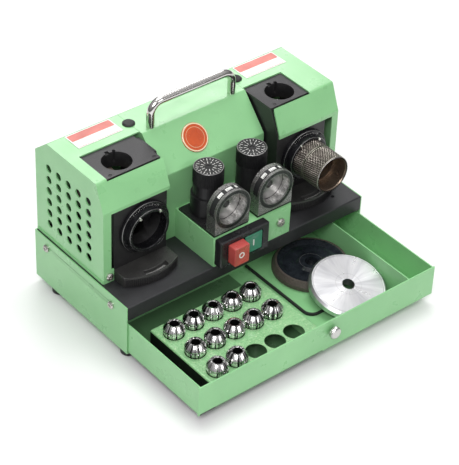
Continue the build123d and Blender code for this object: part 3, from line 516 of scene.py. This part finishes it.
# ---- setting gauges -------------------------------------------------------------------------
SOCKET_BORE, SOCKET_DEPTH = 16.2, 10.3
POST_R, SPINDLE_DEPTH = 14.55, 9.05
DIAL_RIBS, DIAL_MARKS = 60, 24


def dial(side):
    """Dial cap with a fluted edge, a sunburst of engraved marks and a thin bright rim."""
    low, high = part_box(side + "_gauge_dial")
    centre = (low + high) / 2
    r = (high.x - low.x) / 2 / MM
    t = (high.z - low.z) / MM
    foot = at((centre.x, centre.y, low.z))

    def ribbed(rr, h, a, row):
        if 6 <= row <= 7:
            return rr - 0.45 * (0.5 - 0.5 * math.cos(a * DIAL_RIBS)) ** 0.6
        return rr

    inside = [(0, 0.3), (2.9, 0.3), (2.9, SPINDLE_DEPTH), (POST_R, SPINDLE_DEPTH), (POST_R, 0)]
    skirt = [(r - 0.1, 0), (r - 0.05, 0.6), (r - 0.05, t - 1.5), (r - 0.3, t - 1.2), (r - 0.3, t - 0.6)]
    face = [(r - 0.7, t - 0.05), (r - 1.3, t - 0.05), (r - 1.7, t - 0.4), (3.6, t - 0.4), (3.3, t - 0.1)]
    middle = [(2.4, t - 0.1), (2.1, t - 0.8), (0, t - 0.8)]
    cap = Shape()
    cap.lathe(inside + skirt + face + middle, foot, DIAL_RIBS * 6, ribbed)
    cap.piece(side + "_dial_cap", M["dial"], side + "_dial", slot="engraved_dial",
              replaced=(side + "_gauge_dial",))
    marks = Shape()
    half, sunk, proud = 0.24, t - 0.5, t - 0.32
    for k in range(DIAL_MARKS):
        turn = at((centre.x, centre.y, low.z), Matrix.Rotation(math.tau * k / DIAL_MARKS, 4, "Z"))
        marks.box((r - (5.8 if k % 2 == 0 else 4.2), -half, sunk), (r - 2.4, half, proud), turn)
        if k % 2 == 0:
            marks.box((4.4 if k % 4 == 0 else 5.4, -half, sunk), (r - 7.2, half, proud), turn)
    marks.piece(side + "_dial_marks", M["mark"], side + "_dial", slot="graduated_band")
    rim = Shape()
    rim.lathe([(r - 1.25, t - 0.05), (r - 1.2, t - 0.01), (r - 0.72, t - 0.01), (r - 0.45, t - 0.3),
               (r - 0.8, t - 0.3)], foot, 120)
    rim.piece(side + "_dial_rim", M["worn_edge"], side + "_dial", slot="bright_steel")


def socket_metal(side):
    """Socket casting: brushed bright bore, turned floor with painted light and shade across it, dark face,
    grey rough outside.
    """
    low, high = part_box(side + "_gauge_ring")
    r = (high.x - low.x) / 2
    f = Finish(side + "_socket_metal", Metallic=0.85)
    x, y, z = f.split(f.stretched(move=(-(low.x + high.x) / 2, -low.y, -(high.z - r))))
    reach, turn = f.hypot(x, z), f.calc("ARCTAN2", z, x)
    wall = f.band(reach, (SOCKET_BORE - 0.3) * MM, (SOCKET_BORE + 0.1) * MM, 0.05 * MM)
    above_floor = f.spread(y, (SOCKET_DEPTH - 0.4) * MM, (SOCKET_DEPTH - 0.2) * MM, 1.0, 0.0)
    wall = f.calc("MULTIPLY", wall, above_floor)
    floor = f.spread(reach, (SOCKET_BORE - 0.4) * MM, (SOCKET_BORE - 0.2) * MM, 1.0, 0.0)
    round_side = f.spread(reach, r - 0.6 * MM, r - 0.3 * MM)
    ray = f.rays(turn, f.calc("MULTIPLY", y, 40.0), 3.2, 4.0, 0.7)
    fine, coarse = f.noise(900.0, 3.0, 0.7), f.noise(1100.0, 4.0, 0.8)
    cast = f.between(f.spread(fine, 0.35, 0.7), (0.026, 0.026, 0.028), (0.085, 0.084, 0.086))
    rough_side = f.between(f.spread(coarse, 0.38, 0.62), (0.060, 0.058, 0.058), (0.46, 0.45, 0.44))
    brushed = f.between(f.spread(ray, 0.38, 0.66), (0.22, 0.215, 0.21), (0.88, 0.87, 0.86))
    tint = f.between(wall, f.between(round_side, cast, rough_side), brushed)
    # painted light and shade on the floor: bright towards +x and downwards, dark the other way
    slant = f.calc("ADD", f.calc("SUBTRACT", x, z), f.calc("MULTIPLY", f.noise(160.0, 3.0), 8.0 * MM))
    floor_light_and_shade = f.between(f.spread(slant, -8.0 * MM, 20.0 * MM), (0.018, 0.018, 0.018), (0.50, 0.49, 0.48))
    f.colour(f.between(floor, tint, floor_light_and_shade))
    f.rough(f.spread(f.noise(120.0, 3.0), 0.3, 0.7, 0.24, 0.42))
    f.bump(f.calc("MULTIPLY", f.wave(y, 0.5), wall), 0.02, 0.6)
    f.bump(f.calc("MULTIPLY", f.calc("SINE", f.calc("MULTIPLY", turn, 110.0)), round_side), 0.12, 0.7)
    f.bump(f.noise(1500.0, 2.0, 0.7), 0.06, 0.6)
    dress(side + "_gauge_ring", f.material)


def gauge_socket(side):
    """Thin turned rims and four face screws of a setting socket."""
    low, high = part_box(side + "_gauge_ring")
    r = (high.x - low.x) / 2 / MM
    face = at(((low.x + high.x) / 2, low.y, high.z - r * MM), FRONT)
    rims = Shape()
    rims.lathe([(r - 0.75, -0.2), (r - 0.5, -0.5), (r + 0.02, -0.5), (r + 0.02, -0.25), (r - 0.3, 0.02),
                (r - 0.75, 0.02)], face, 144)
    rims.lathe([(SOCKET_BORE - 0.04, -0.9), (SOCKET_BORE + 0.6, -0.9), (SOCKET_BORE + 0.6, 0.02),
                (SOCKET_BORE + 0.25, 0.02), (SOCKET_BORE - 0.04, -0.3)], face, 144)
    rims.piece(side + "_socket_rims", M["worn_edge"], "machine", slot="bright_steel")
    dots = Shape()
    spot = (r + SOCKET_BORE) / 2 + 0.1
    for turn in (-58, 32, 122, 212):
        a = math.radians(turn)
        dots.lathe([(0, 0.02), (0.85, 0.02), (0.85, 0.12), (0.55, 0.12), (0.5, 0.05), (0, 0.05)],
                   face @ Matrix.Translation((spot * math.cos(a) * MM, spot * math.sin(a) * MM, 0)), 20)
    dots.piece(side + "_socket_dots", M["bore"], "machine", slot="black_screws")


def gauge_band(side):
    """Black band round the top of the socket ring, with bright graduated strips let into it."""
    low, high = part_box(side + "_gauge_band")
    ring_low, ring_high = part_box(side + "_gauge_ring")
    r = (ring_high.x - ring_low.x) / 2 / MM
    width = (high.y - low.y) / MM
    back = at(((ring_low.x + ring_high.x) / 2, high.y, ring_high.z - r * MM), FRONT)
    band, strips, ticks = Shape(), Shape(), Shape()
    band.prism(arc_strip(r - 1.1, r + 0.1, -4, 184, 64), 0.02, width - 0.02, back)
    for start, end in ((115, 132), (84, 104), (66, 74)):
        strips.prism(arc_strip(r - 0.3, r + 0.24, start, end, 16), 1.3, width - 1.1, back)
        count = round((end - start) / 4)
        for k in range(1, count):
            a = start + (end - start) * k / count
            depth = width - (3.4 if k % 4 == 0 else 2.5)
            ticks.prism(arc_strip(r, r + 0.3, a - 0.55, a + 0.55, 1), depth, width - 1.2, back)
    band.piece(side + "_band_base", M["bore"], "machine", slot="black_turned",
               replaced=(side + "_gauge_band",))
    strips.piece(side + "_band_strips", M["mark"], "machine", slot="graduated_band")
    ticks.piece(side + "_band_ticks", M["bore"], "machine", slot="black_screws")


for side in ("left", "right"):
    dial(side)
    socket_metal(side)
    gauge_socket(side)
    gauge_band(side)


# ---- chuck and its guides -------------------------------------------------------------------
STEP_R, STEP_T = 23.0, 6.0              # step of the guide ring in front of its flange


def guide_trim(side):
    """Thin rubbed edges and fine graduations of a guide ring."""
    low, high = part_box(side + "_guide_ring")
    r = (high.x - low.x) / 2 / MM
    centre = (low + high) / 2
    front = at((centre.x, low.y, centre.z), FRONT)
    trim = Shape()
    trim.lathe([(r - 0.95, -STEP_T - 0.25), (r - 0.72, -STEP_T + 0.02), (r - 0.3, -STEP_T - 0.38),
                (r - 0.55, -STEP_T - 0.65)], front, 144)
    trim.lathe([(STEP_R - 0.8, -0.25), (STEP_R - 0.6, 0.02), (STEP_R - 0.2, -0.36),
                (STEP_R - 0.45, -0.6)], front, 144)
    trim.piece(side + "_guide_trim", M["worn_edge"], "machine", slot="bright_steel")
    lines = Shape()
    for k in range(-8, 9):
        a = 90 + k * 4.5
        length = 1.9 if k % 4 == 0 else 1.1
        lines.prism(arc_strip(STEP_R + 0.4, STEP_R + 0.4 + length, a - 0.3, a + 0.3, 1),
                    -STEP_T - 0.1, -STEP_T + 0.07, front)
    lines.piece(side + "_guide_lines", M["mark"], "machine", slot="graduated_band")


for side in ("left", "right"):
    guide_trim(side)

cap_low, cap_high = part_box("chuck_cap")
body_low, body_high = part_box("chuck_body")
AXIS = (cap_low + cap_high) / 2
CHUCK_R = (cap_high.x - cap_low.x) / 2 / MM
CHUCK_BORE = 17.25
NOSE_OVERLAP = 7.0                      # length of the body's spigot inside the nose
TEETH, TOOTH_PITCH, TOOTH_DEPTH = 50, 2.45, 0.55


def diamond(rows):
    """Radius of a diamond knurl on the given rows of a profile."""
    def radius(r, h, a, row):
        if not rows[0] <= row <= rows[1]:
            return r
        up = abs(math.sin((a * TEETH + math.tau * h / TOOTH_PITCH) / 2))
        down = abs(math.sin((a * TEETH - math.tau * h / TOOTH_PITCH) / 2))
        return r - TOOTH_DEPTH * (1 - min(up, down))
    return radius


def knurled_sleeve(name, back_end, start, end, front_end, place, body, slot, material, replaced):
    """Turned sleeve with real knurled teeth from start to end; the two profiles close it."""
    steps = int((end - start) / (TOOTH_PITCH / 8))
    profile = list(back_end)
    first = len(profile)
    profile += [(CHUCK_R, start + (end - start) * k / steps) for k in range(steps + 1)]
    last = len(profile) - 1
    profile += front_end
    sleeve = Shape()
    sleeve.lathe(profile, place, TEETH * 8, diamond((first, last)))
    return sleeve.piece(name, material, body, slot=slot, replaced=replaced, smooth=24)


def knurl_finish(name, dark, light):
    """Dark grey-brown knurled steel with rubbed crests; the teeth themselves are in the mesh."""
    f = Finish(name, Metallic=0.9)
    x, y, z = f.split(f.stretched(move=tuple(-c for c in AXIS)))
    reach = f.hypot(x, z)
    crest = f.spread(reach, (CHUCK_R - 0.34) * MM, (CHUCK_R - 0.06) * MM)
    inside = f.spread(reach, (CHUCK_BORE + 0.4) * MM, (CHUCK_BORE + 0.8) * MM, 1.0, 0.0)
    grain = f.spread(f.noise(700.0, 4.0, 0.75), 0.35, 0.7)
    tint = f.over(f.between(crest, dark, light), grain, 0.35, shade(dark, 1.7))
    tint = f.over(tint, f.spread(f.noise(40.0, 4.0), 0.35, 0.7), 0.3, shade(dark, 0.6))
    f.colour(f.between(inside, tint, f.between(grain, (0.20, 0.15, 0.115), (0.34, 0.27, 0.21))))
    f.rough(f.spread(f.noise(90.0, 3.0), 0.3, 0.7, 0.26, 0.42))
    f.bump(f.calc("MULTIPLY", f.wave(y, 0.6), inside), 0.02, 0.6)
    f.bump(f.noise(1300.0, 2.0), 0.03, 0.5)
    return f.material


M["knurl"] = knurl_finish("grey_chuck", (0.045, 0.036, 0.030), (0.66, 0.60, 0.54))
LAND_R = CHUCK_R - 0.1                  # plain lands beside the knurl
nose_back, nose_length = at((AXIS.x, cap_high.y, AXIS.z), FRONT), (cap_high.y - cap_low.y) / MM
knurled_sleeve(
    "chuck_nose_sleeve",
    [(CHUCK_BORE, 0.0), (CHUCK_R - 0.6, 0.0), (LAND_R, 0.5), (LAND_R, 1.0)], 1.1, nose_length - 1.5,
    [(LAND_R, nose_length - 1.4), (LAND_R, nose_length - 0.6), (CHUCK_R - 0.6, nose_length),
     (CHUCK_R - 1.3, nose_length), (CHUCK_BORE, nose_length - 1.5)],
    nose_back, "chuck_nose", "grey_chuck", M["knurl"], ("chuck_cap",))
nose_rim = Shape()
nose_rim.lathe([(CHUCK_R - 1.35, nose_length - 0.15), (CHUCK_R - 1.2, nose_length),
                (CHUCK_R - 0.62, nose_length), (CHUCK_R - 0.3, nose_length - 0.3),
                (CHUCK_R - 0.7, nose_length - 0.5)], nose_back, 144)
nose_rim.piece("chuck_nose_rim", M["mark_steel"], "chuck_nose", slot="bright_steel")

SPIGOT_R, INNER_R, BACK_R = 17.2, 14.0, 8.0     # the body's spigot, its bore and the hole in its back
body_back = at((AXIS.x, body_high.y, AXIS.z), FRONT)
body_length = (body_high.y - body_low.y) / MM - NOSE_OVERLAP
knurled_sleeve(
    "chuck_body_sleeve",
    [(BACK_R, 0.0), (15.0, 0.0), (LAND_R, 3.0), (LAND_R, 3.6)], 3.7, body_length - 1.3,
    [(LAND_R, body_length - 1.2), (LAND_R, body_length - 0.6), (CHUCK_R - 0.6, body_length),
     (SPIGOT_R, body_length), (SPIGOT_R, body_length + NOSE_OVERLAP), (INNER_R, body_length + NOSE_OVERLAP),
     (INNER_R, 18.0), (BACK_R, 10.5)],
    body_back, "chuck", "grey_chuck", M["knurl"], ("chuck_body",))


# ---- station ledges -------------------------------------------------------------------------
LEDGE_IN, LEDGE_BACK = 1.5, 32.0        # centre of the ledge's arc, from the middle of the guide ring
LEDGE_R, LEDGE_H = 53.5, 11.0
SLOT_IN, SLOT_FLOOR = 46.4, 7.0
TOOTH_STEP, TICK_STEP = 1.9, 1.35       # degrees between teeth and between ticks


def ledge_trim(side):
    """Teeth on the ledge's front edge, its rubbed top corner and the scale in its curved slot."""
    ring = mid(side + "_guide_ring")
    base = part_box(side + "_station_body")[0].z
    place = at((ring.x - LEDGE_IN * MM, ring.y + LEDGE_BACK * MM, base))
    teeth, ticks, edge = Shape(), Shape(), Shape()
    for k in range(-18, 16):
        a = -90 + k * TOOTH_STEP
        teeth.prism(arc_strip(LEDGE_R - 0.4, LEDGE_R + 0.35, a - 0.55, a + 0.55, 1), 1.2, 8.6, place)
    teeth.piece(side + "_ledge_teeth", M["casting"], "machine", slot="black_casting")
    edge.prism(arc_strip(LEDGE_R - 0.55, LEDGE_R + 0.03, -126, -59, 48), LEDGE_H - 0.4, LEDGE_H + 0.03, place)
    edge.piece(side + "_ledge_edge", M["worn_edge"], "machine", slot="bright_steel")
    for k in range(-10, 11):
        a = -89 + k * TICK_STEP
        length = 2.6 if k % 5 == 0 else 1.6
        ticks.prism(arc_strip(SLOT_IN + 0.3, SLOT_IN + 0.3 + length, a - 0.16, a + 0.16, 1),
                    SLOT_FLOOR - 0.1, SLOT_FLOOR + 0.08, place)
    ticks.piece(side + "_ledge_ticks", M["mark"], "machine", slot="graduated_band")


for side in ("left", "right"):
    ledge_trim(side)


# ---- collets --------------------------------------------------------------------------------
SLITS, PER_SLIT = 8, 20                 # slits of a collet, and mesh columns for each
back_row, middle_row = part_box("back_collets"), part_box("middle_collets")
COLLET_R = (back_row[1].y - back_row[0].y) / 2
COLLET_X, COLLET_Y = back_row[0].x + COLLET_R, (back_row[0].y + back_row[1].y) / 2
PITCH_X = (back_row[1].x - back_row[0].x - 2 * COLLET_R) / 4
PITCH_Y = back_row[0].y - middle_row[0].y


def collet_metal():
    """Ground and polished steel with painted reflections: bright and dark streaks round each collet's own
    axis.
    """
    f = Finish("ground_collet", Metallic=1.0)
    x, y, z = f.split()

    def about(value, first, pitch):
        wrapped = f.node("ShaderNodeMath", operation="WRAP")
        f.put(wrapped.inputs[0], f.calc("SUBTRACT", value, first))
        wrapped.inputs[1].default_value = pitch / 2
        wrapped.inputs[2].default_value = -pitch / 2
        return wrapped.outputs[0]

    dx, dy = about(x, COLLET_X, PITCH_X), about(y, COLLET_Y, PITCH_Y)
    turn = f.calc("ARCTAN2", dy, dx)
    column = f.calc("MULTIPLY", f.calc("SUBTRACT", x, dx), 190.0)
    line = f.calc("MULTIPLY", f.calc("SUBTRACT", y, dy), 90.0)
    ray = f.rays(turn, f.calc("ADD", column, line), 4.2, 3.0, 0.7)
    # painted shade: the steel goes near black inside each bore
    bore = f.spread(f.hypot(dx, dy), 4.45 * MM, 4.6 * MM, 1.0, 0.0)
    # painted reflections: bright and dark streaks in the steel's colour
    metal = f.between(f.spread(ray, 0.40, 0.54), (0.075, 0.075, 0.078), (0.92, 0.91, 0.90))
    f.colour(f.between(bore, metal, (0.020, 0.020, 0.021)))
    polish = f.spread(f.noise(70.0, 3.0), 0.3, 0.7, 0.13, 0.24)
    f.rough(f.calc("ADD", polish, f.calc("MULTIPLY", bore, 0.4)))
    f.bump(f.wave(z, 0.4), 0.004, 0.4)
    return f.material


def collet_shell(shape, place, below, top):
    """Slit spring collet: taper, extraction groove, nose and straight bore."""
    def slit(r, h, a, row):
        k = round(a / math.tau * SLITS * PER_SLIT) % PER_SLIT
        return max(r - 2.6, 4.7) if k in (0, 1) and 2 <= row <= 13 else r

    taper = [(2.2, -below), (6.9, -below), (9.5, -0.3), (10.25, 3.2), (10.35, 3.5), (10.35, 4.4)]
    groove = [(9.3, 4.8), (9.3, 6.1), (10.3, 6.4), (10.35, 6.7), (10.35, 7.2), (10.1, 7.6)]
    nose = [(7.0, top - 0.3), (6.6, top - 0.02), (5.3, top - 0.02), (4.5, top - 0.6)]
    bore = [(4.3, top - 1.5), (4.3, -4.0), (2.2, -6.0)]
    shape.lathe(taper + groove + nose + bore, place, SLITS * PER_SLIT, slit)


M["collet"] = collet_metal()
random.seed(11)
for row, count in (("back", 5), ("middle", 5), ("front", 2)):
    low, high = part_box(row + "_collets")
    collets = Shape()
    for i in range(count):
        place = at((COLLET_X + PITCH_X * i, (low.y + high.y) / 2, tray_high.z),
                   Matrix.Rotation(random.uniform(0, 0.7), 4, "Z"))
        collet_shell(collets, place, (tray_high.z - low.z) / MM, (high.z - tray_high.z) / MM)
    collets.piece(row + "_collet_set", M["collet"], row + "_collet_row", slot="ground_collets",
                  replaced=(row + "_collets",), smooth=28)


# ---- spare wheels ---------------------------------------------------------------------------
LEAN = 14.4                             # the light wheel leans on the dark one


def wheel_coords(f, centre, lean):
    """X, Y and distance from the axis of a wheel that leans by lean degrees about X."""
    moved = f.stretched(move=tuple(-c for c in centre))
    turned = f.node("ShaderNodeVectorRotate", {"Vector": moved, "Angle": -math.radians(lean)},
                    rotation_type="X_AXIS")
    x, y, _ = f.split(turned.outputs["Vector"])
    return x, y, f.hypot(x, y)


def dark_wheel():
    """Blue-black glossy resin core in a speckled brown abrasive rim."""
    f = Finish("dark_wheel", IOR=1.5, Coat_Weight=0.25, Coat_Roughness=0.15)
    _, _, reach = wheel_coords(f, mid("spare_wheel_dark"), 0)
    rim = f.spread(reach, 33.6 * MM, 34.2 * MM)
    grains = f.spread(f.noise(1600.0, 3.0, 0.8), 0.35, 0.65)
    grit = f.between(grains, (0.024, 0.019, 0.015), (0.115, 0.094, 0.076))
    cloud = f.spread(f.noise(70.0, 5.0, 0.7), 0.35, 0.7)
    resin = f.between(cloud, (0.008, 0.010, 0.013), (0.026, 0.032, 0.040))
    hub = f.band(reach, 11.2 * MM, 11.8 * MM, 0.2 * MM)
    f.colour(f.between(rim, f.over(resin, hub, 0.5, (0.12, 0.12, 0.125)), grit))
    gloss = f.spread(f.noise(60.0, 4.0), 0.3, 0.7, 0.16, 0.30)
    f.rough(f.calc("ADD", gloss, f.calc("MULTIPLY", rim, 0.5)))
    f.bump(f.calc("MULTIPLY", rim, f.noise(1500.0, 3.0, 0.8)), 0.18, 0.8)
    f.bump(f.wave(reach, 1.2), 0.02, 0.4)
    return f.material


def light_wheel():
    """Turned aluminium core with radial brushing and a fine grey abrasive edge."""
    f = Finish("light_wheel", Metallic=1.0)
    x, y, reach = wheel_coords(f, mid("spare_wheel_light"), LEAN)
    ray = f.rays(f.calc("ARCTAN2", x, y), f.calc("MULTIPLY", reach, 6.0), 2.6, 3.0, 0.6)
    metal = f.between(f.spread(ray, 0.34, 0.68), (0.80, 0.80, 0.81), (0.50, 0.50, 0.52))
    edge = f.band(reach, 34.6 * MM, 35.2 * MM, 0.15 * MM)
    hub = f.band(reach, 12.5 * MM, 13.0 * MM, 0.2 * MM)
    metal = f.over(metal, edge, 0.7, (0.36, 0.36, 0.37))
    f.colour(f.over(metal, hub, 0.6, (0.4, 0.4, 0.4)))
    f.rough(f.spread(ray, 0.3, 0.7, 0.24, 0.42))
    f.bump(f.wave(reach, 0.5), 0.015, 0.6)
    f.bump(f.calc("MULTIPLY", edge, -1.0), 0.15, 0.6)
    return f.material


dress("spare_wheel_dark", dark_wheel())
dress("spare_wheel_light", light_wheel())


def tray_shadow_strip():
    """Black strip along the wheel tray's left and front edges, round its corner: a painted shadow in place of
    the shade gap under the tray's edge.
    """
    low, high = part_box("wheel_tray")
    x0, y0, x1, y1 = low.x / MM, low.y / MM, high.x / MM, high.y / MM
    wide, corner = 1.7, 9.0

    def bend(out):
        """The rounded corner, that far outside the tray's own."""
        turns = [math.radians(a) for a in range(0, 91, 9)]
        return [(x0 - out + (corner + out) * (1 - math.cos(a)), y0 - out + (corner + out) * (1 - math.sin(a)))
                for a in turns]

    outline = [(x0 - wide, y1)] + bend(wide) + [(x1, y0 - wide), (x1, y0)] + bend(0)[::-1] + [(x0, y1)]
    # painted shadow: a black sheet from the floor up to under the tray's edge
    shade_strip = Shape()
    shade_strip.prism(outline, FLOOR_TOP / MM + 0.05, high.z / MM - 0.4)
    shade_strip.piece("wheel_tray_shadow_strip", M["rubber"], "drawer", slot="rubber")


tray_shadow_strip()


# ---- switch ---------------------------------------------------------------------------------
def moulded_key(name, node, body, material, slot, dish, sign):
    """Push key with rounded outline, dished face and a raised plain sign."""
    low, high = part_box(node)
    w, h = (high.x - low.x) / MM, (high.z - low.z) / MM
    deep = (high.y - low.y) / MM
    centre = (low + high) / 2
    place = at((centre.x, high.y, centre.z), FRONT)
    rings, verts, faces = [], [], []
    crown, lip = deep - 0.02, 0.93          # height of the dished face's edge, and its share of the width
    levels = [(0.0, 1.0), (deep - 1.1, 1.0), (deep - 0.45, 0.985), (crown, lip)]
    for k in range(1, 9):
        inward = 1 - k / 9
        levels.append((crown - dish * (1 - inward ** 2), lip * inward))
    outline = rounded(w - 0.04, h - 0.04, 1.4, 5)
    for z, s in levels:
        rings.append([len(verts) + i for i in range(len(outline))])
        verts += [(px * s * MM, py * s * MM, z * MM) for px, py in outline]
    n = len(outline)
    for a, b in zip(rings, rings[1:]):
        faces += [(a[i], a[(i + 1) % n], b[(i + 1) % n], b[i]) for i in range(n)]
    faces.append(tuple(reversed(rings[0])))
    faces.append(tuple(rings[-1]))
    key = Shape()
    key.add(verts, faces, place)
    key.piece(name, material, body, slot=slot, replaced=(node,), smooth=35)
    mark = Shape()
    face = crown - dish
    if sign == "ring":
        mark.lathe([(2.1, face - 0.2), (3.3, face - 0.2), (3.3, face + 0.22), (3.1, face + 0.3),
                    (2.3, face + 0.3), (2.1, face + 0.22)], place, 48)
    else:
        mark.prism(rounded(1.3, 7.0, 0.5, 3), face - 0.2, face + 0.5, place)
    mark.piece(name + "_sign", M["mark"], body, slot="graduated_band")


moulded_key("stop_key_cap", "stop_button", "stop_key", M["red"], "button_red", 0.8, "ring")
moulded_key("start_key_cap", "start_button", "start_key", M["green_key"], "button_green", 0.5, "bar")



def well_rims():
    """Raised rims of the switch housing round its two keys."""
    face_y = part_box("switch_housing")[0].y
    bezel = Shape()
    for key in ("stop_button", "start_button"):
        low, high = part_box(key)
        centre = (low + high) / 2
        w, h = (high.x - low.x) / MM + 1.1, (high.z - low.z) / MM + 1.1
        outer, inner = rounded(w + 1.5, h + 1.5, 1.6, 4), rounded(w, h, 1.0, 4)
        loops = ((outer, -0.2), (outer, 0.35), (inner, 0.35), (inner, -0.2))
        verts = [(x * MM, y * MM, z * MM) for loop, z in loops for x, y in loop]
        n = len(outer)
        faces = []
        for level in range(4):
            a, b = level * n, ((level + 1) % 4) * n
            faces += [(a + i, a + (i + 1) % n, b + (i + 1) % n, b + i) for i in range(n)]
        bezel.add(verts, faces, at((centre.x, face_y, centre.z), FRONT))
    bezel.piece("switch_well_rims", M["switch"], "machine", slot="switch_black")


well_rims()


# ---- labels and badge -----------------------------------------------------------------------
LABEL_W = 50.4


def label_bands():
    """Red heading block and a thin closing line on each label, in place of its print."""
    low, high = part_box("label_plates")
    depth = (high.y - low.y) / MM
    bands = Shape()
    for x0 in (low.x / MM, high.x / MM - LABEL_W):
        x = (x0 + LABEL_W / 2) * MM
        heading = at((x, high.y - (1.2 + depth * 0.22) * MM, high.z))
        bands.prism(rounded(LABEL_W - 2.4, depth * 0.44, 0.9, 3), -0.15, 0.06, heading)
        y = -depth / 2 + 1.2
        bands.box((-LABEL_W / 2 + 1.6, y - 0.2, -0.15), (LABEL_W / 2 - 1.6, y + 0.2, 0.04),
                  at((x, (low.y + high.y) / 2, high.z)))
    bands.piece("label_bands", M["red_print"], "machine", slot="label_print")


def badge_enamel():
    """Orange enamel with a pale border and one pale inner ring."""
    f = Finish("badge_enamel", IOR=1.5, Coat_Weight=0.5, Coat_Roughness=0.08)
    reach = f.away(mid("round_badge"))
    orange = f.between(f.spread(f.noise(120.0, 4.0), 0.3, 0.7), (0.60, 0.090, 0.016), (0.48, 0.065, 0.012))
    border = f.spread(reach, 12.65 * MM, 12.85 * MM)
    border = f.calc("MULTIPLY", border, f.spread(reach, 13.9 * MM, 14.1 * MM, 1.0, 0.0))
    inner = f.band(reach, 9.8 * MM, 10.2 * MM, 0.15 * MM)
    tint = f.between(border, orange, (0.80, 0.66, 0.44))
    f.colour(f.over(tint, inner, 0.75, (0.80, 0.60, 0.36)))
    f.rough(f.spread(f.noise(60.0, 3.0), 0.3, 0.7, 0.2, 0.32))
    f.bump(f.calc("ADD", border, inner), 0.2, 0.5)
    return f.material


label_bands()
dress("round_badge", badge_enamel())


# ---- drawer knob ----------------------------------------------------------------------------
def turned_knob():
    """Domed metal knob with a fluted side, on a short stem through the drawer's front."""
    low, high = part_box("drawer_knob")
    centre = (low + high) / 2
    side_r = (high.x - low.x) / 2 / MM - 0.02
    front = drawer_low.y
    stem, out = (high.y - front) / MM, (front - low.y) / MM

    def fluted(r, h, a, row):
        return r - 0.3 * (0.5 - 0.5 * math.cos(a * 30)) if 3 <= row <= 4 else r

    knob = Shape()
    knob.lathe([(0, -stem), (2.0, -stem), (2.0, 0.05), (side_r, out - 5.0), (side_r, out - 2.4),
                (side_r - 0.88, out - 1.1), (side_r - 2.38, out - 0.35), (1.6, out - 0.02), (0, out - 0.02)],
               at((centre.x, front, centre.z), FRONT), 120, fluted)
    knob.piece("drawer_knob_turned", M["steel"], "drawer", slot="chrome_bar", replaced=("drawer_knob",))


turned_knob()


# ---- floor, lights and camera ---------------------------------------------------------------
f = Finish("floor", Roughness=0.9)
f.colour(f.between(f.spread(f.noise(3.0, 2.0), 0.3, 0.7), (0.86, 0.86, 0.86), (0.84, 0.84, 0.84)))
floor = link("floor", [(-6, -6, 0), (6, -6, 0), (6, 6, 0), (-6, 6, 0)], [(0, 1, 2, 3)], f.material, None)

SKY_STRENGTH = 0.42


def studio_sky():
    """White sky that is brighter overhead than near the floor."""
    world = bpy.data.worlds.new("studio")
    bpy.context.scene.world = world
    world.use_nodes = True
    sky = world.node_tree
    background = sky.nodes["Background"]
    background.inputs["Strength"].default_value = SKY_STRENGTH
    height = sky.nodes.new("ShaderNodeSeparateXYZ")
    sky.links.new(sky.nodes.new("ShaderNodeTexCoord").outputs["Generated"], height.inputs[0])
    ramp = sky.nodes.new("ShaderNodeMapRange")
    for key, value in (("From Min", 0.05), ("From Max", 0.85), ("To Min", 0.22), ("To Max", 1.25)):
        ramp.inputs[key].default_value = value
    sky.links.new(height.outputs["Z"], ramp.inputs["Value"])
    sky.links.new(ramp.outputs["Result"], background.inputs["Color"])


def lamp(name, place, aim, size, power):
    light = bpy.data.lights.new(name, "AREA")
    light.shape = "RECTANGLE"
    light.size, light.size_y = size
    light.energy = power
    made = bpy.data.objects.new(name, light)
    made.location = place
    made.rotation_euler = (Vector(aim) - Vector(place)).to_track_quat("-Z", "Y").to_euler()
    bpy.context.scene.collection.objects.link(made)


studio_sky()
lamp("key", (-1.25, -1.15, 1.9), (0, 0, 0.05), (1.0, 1.0), 31)
lamp("front_fill", (0.7, -2.0, 1.3), (0, 0, 0.08), (1.0, 0.7), 8)
lamp("top", (0.3, 0.4, 2.1), (0, 0, 0.05), (1.3, 0.9), 23)
lamp("back", (1.1, 1.8, 1.3), (0, 0, 0.08), (1.0, 0.8), 12)

SENSOR, LENS = 36.0, 145.7
EYE, LOOK_AT, ROLL = Vector((-0.9298, -1.0755, 1.1786)), Vector((-0.00258, 0.00585, 0.07012)), 2.5875
back = (EYE - LOOK_AT).normalized()
right = Vector((0, 0, 1)).cross(back).normalized()
up = back.cross(right)
roll = math.radians(ROLL)
right, up = math.cos(roll) * right + math.sin(roll) * up, -math.sin(roll) * right + math.cos(roll) * up
camera = bpy.data.cameras.new("camera")
camera.sensor_width = SENSOR
camera.lens = LENS
camera.clip_start, camera.clip_end = 0.05, 50.0
eye = bpy.data.objects.new("camera", camera)
eye.matrix_world = Matrix(((right.x, up.x, back.x, EYE.x), (right.y, up.y, back.y, EYE.y),
                           (right.z, up.z, back.z, EYE.z), (0, 0, 0, 1)))
bpy.context.scene.collection.objects.link(eye)
bpy.context.scene.camera = eye
bpy.context.scene.view_settings.view_transform = "Standard"

bpy.context.view_layer.update()
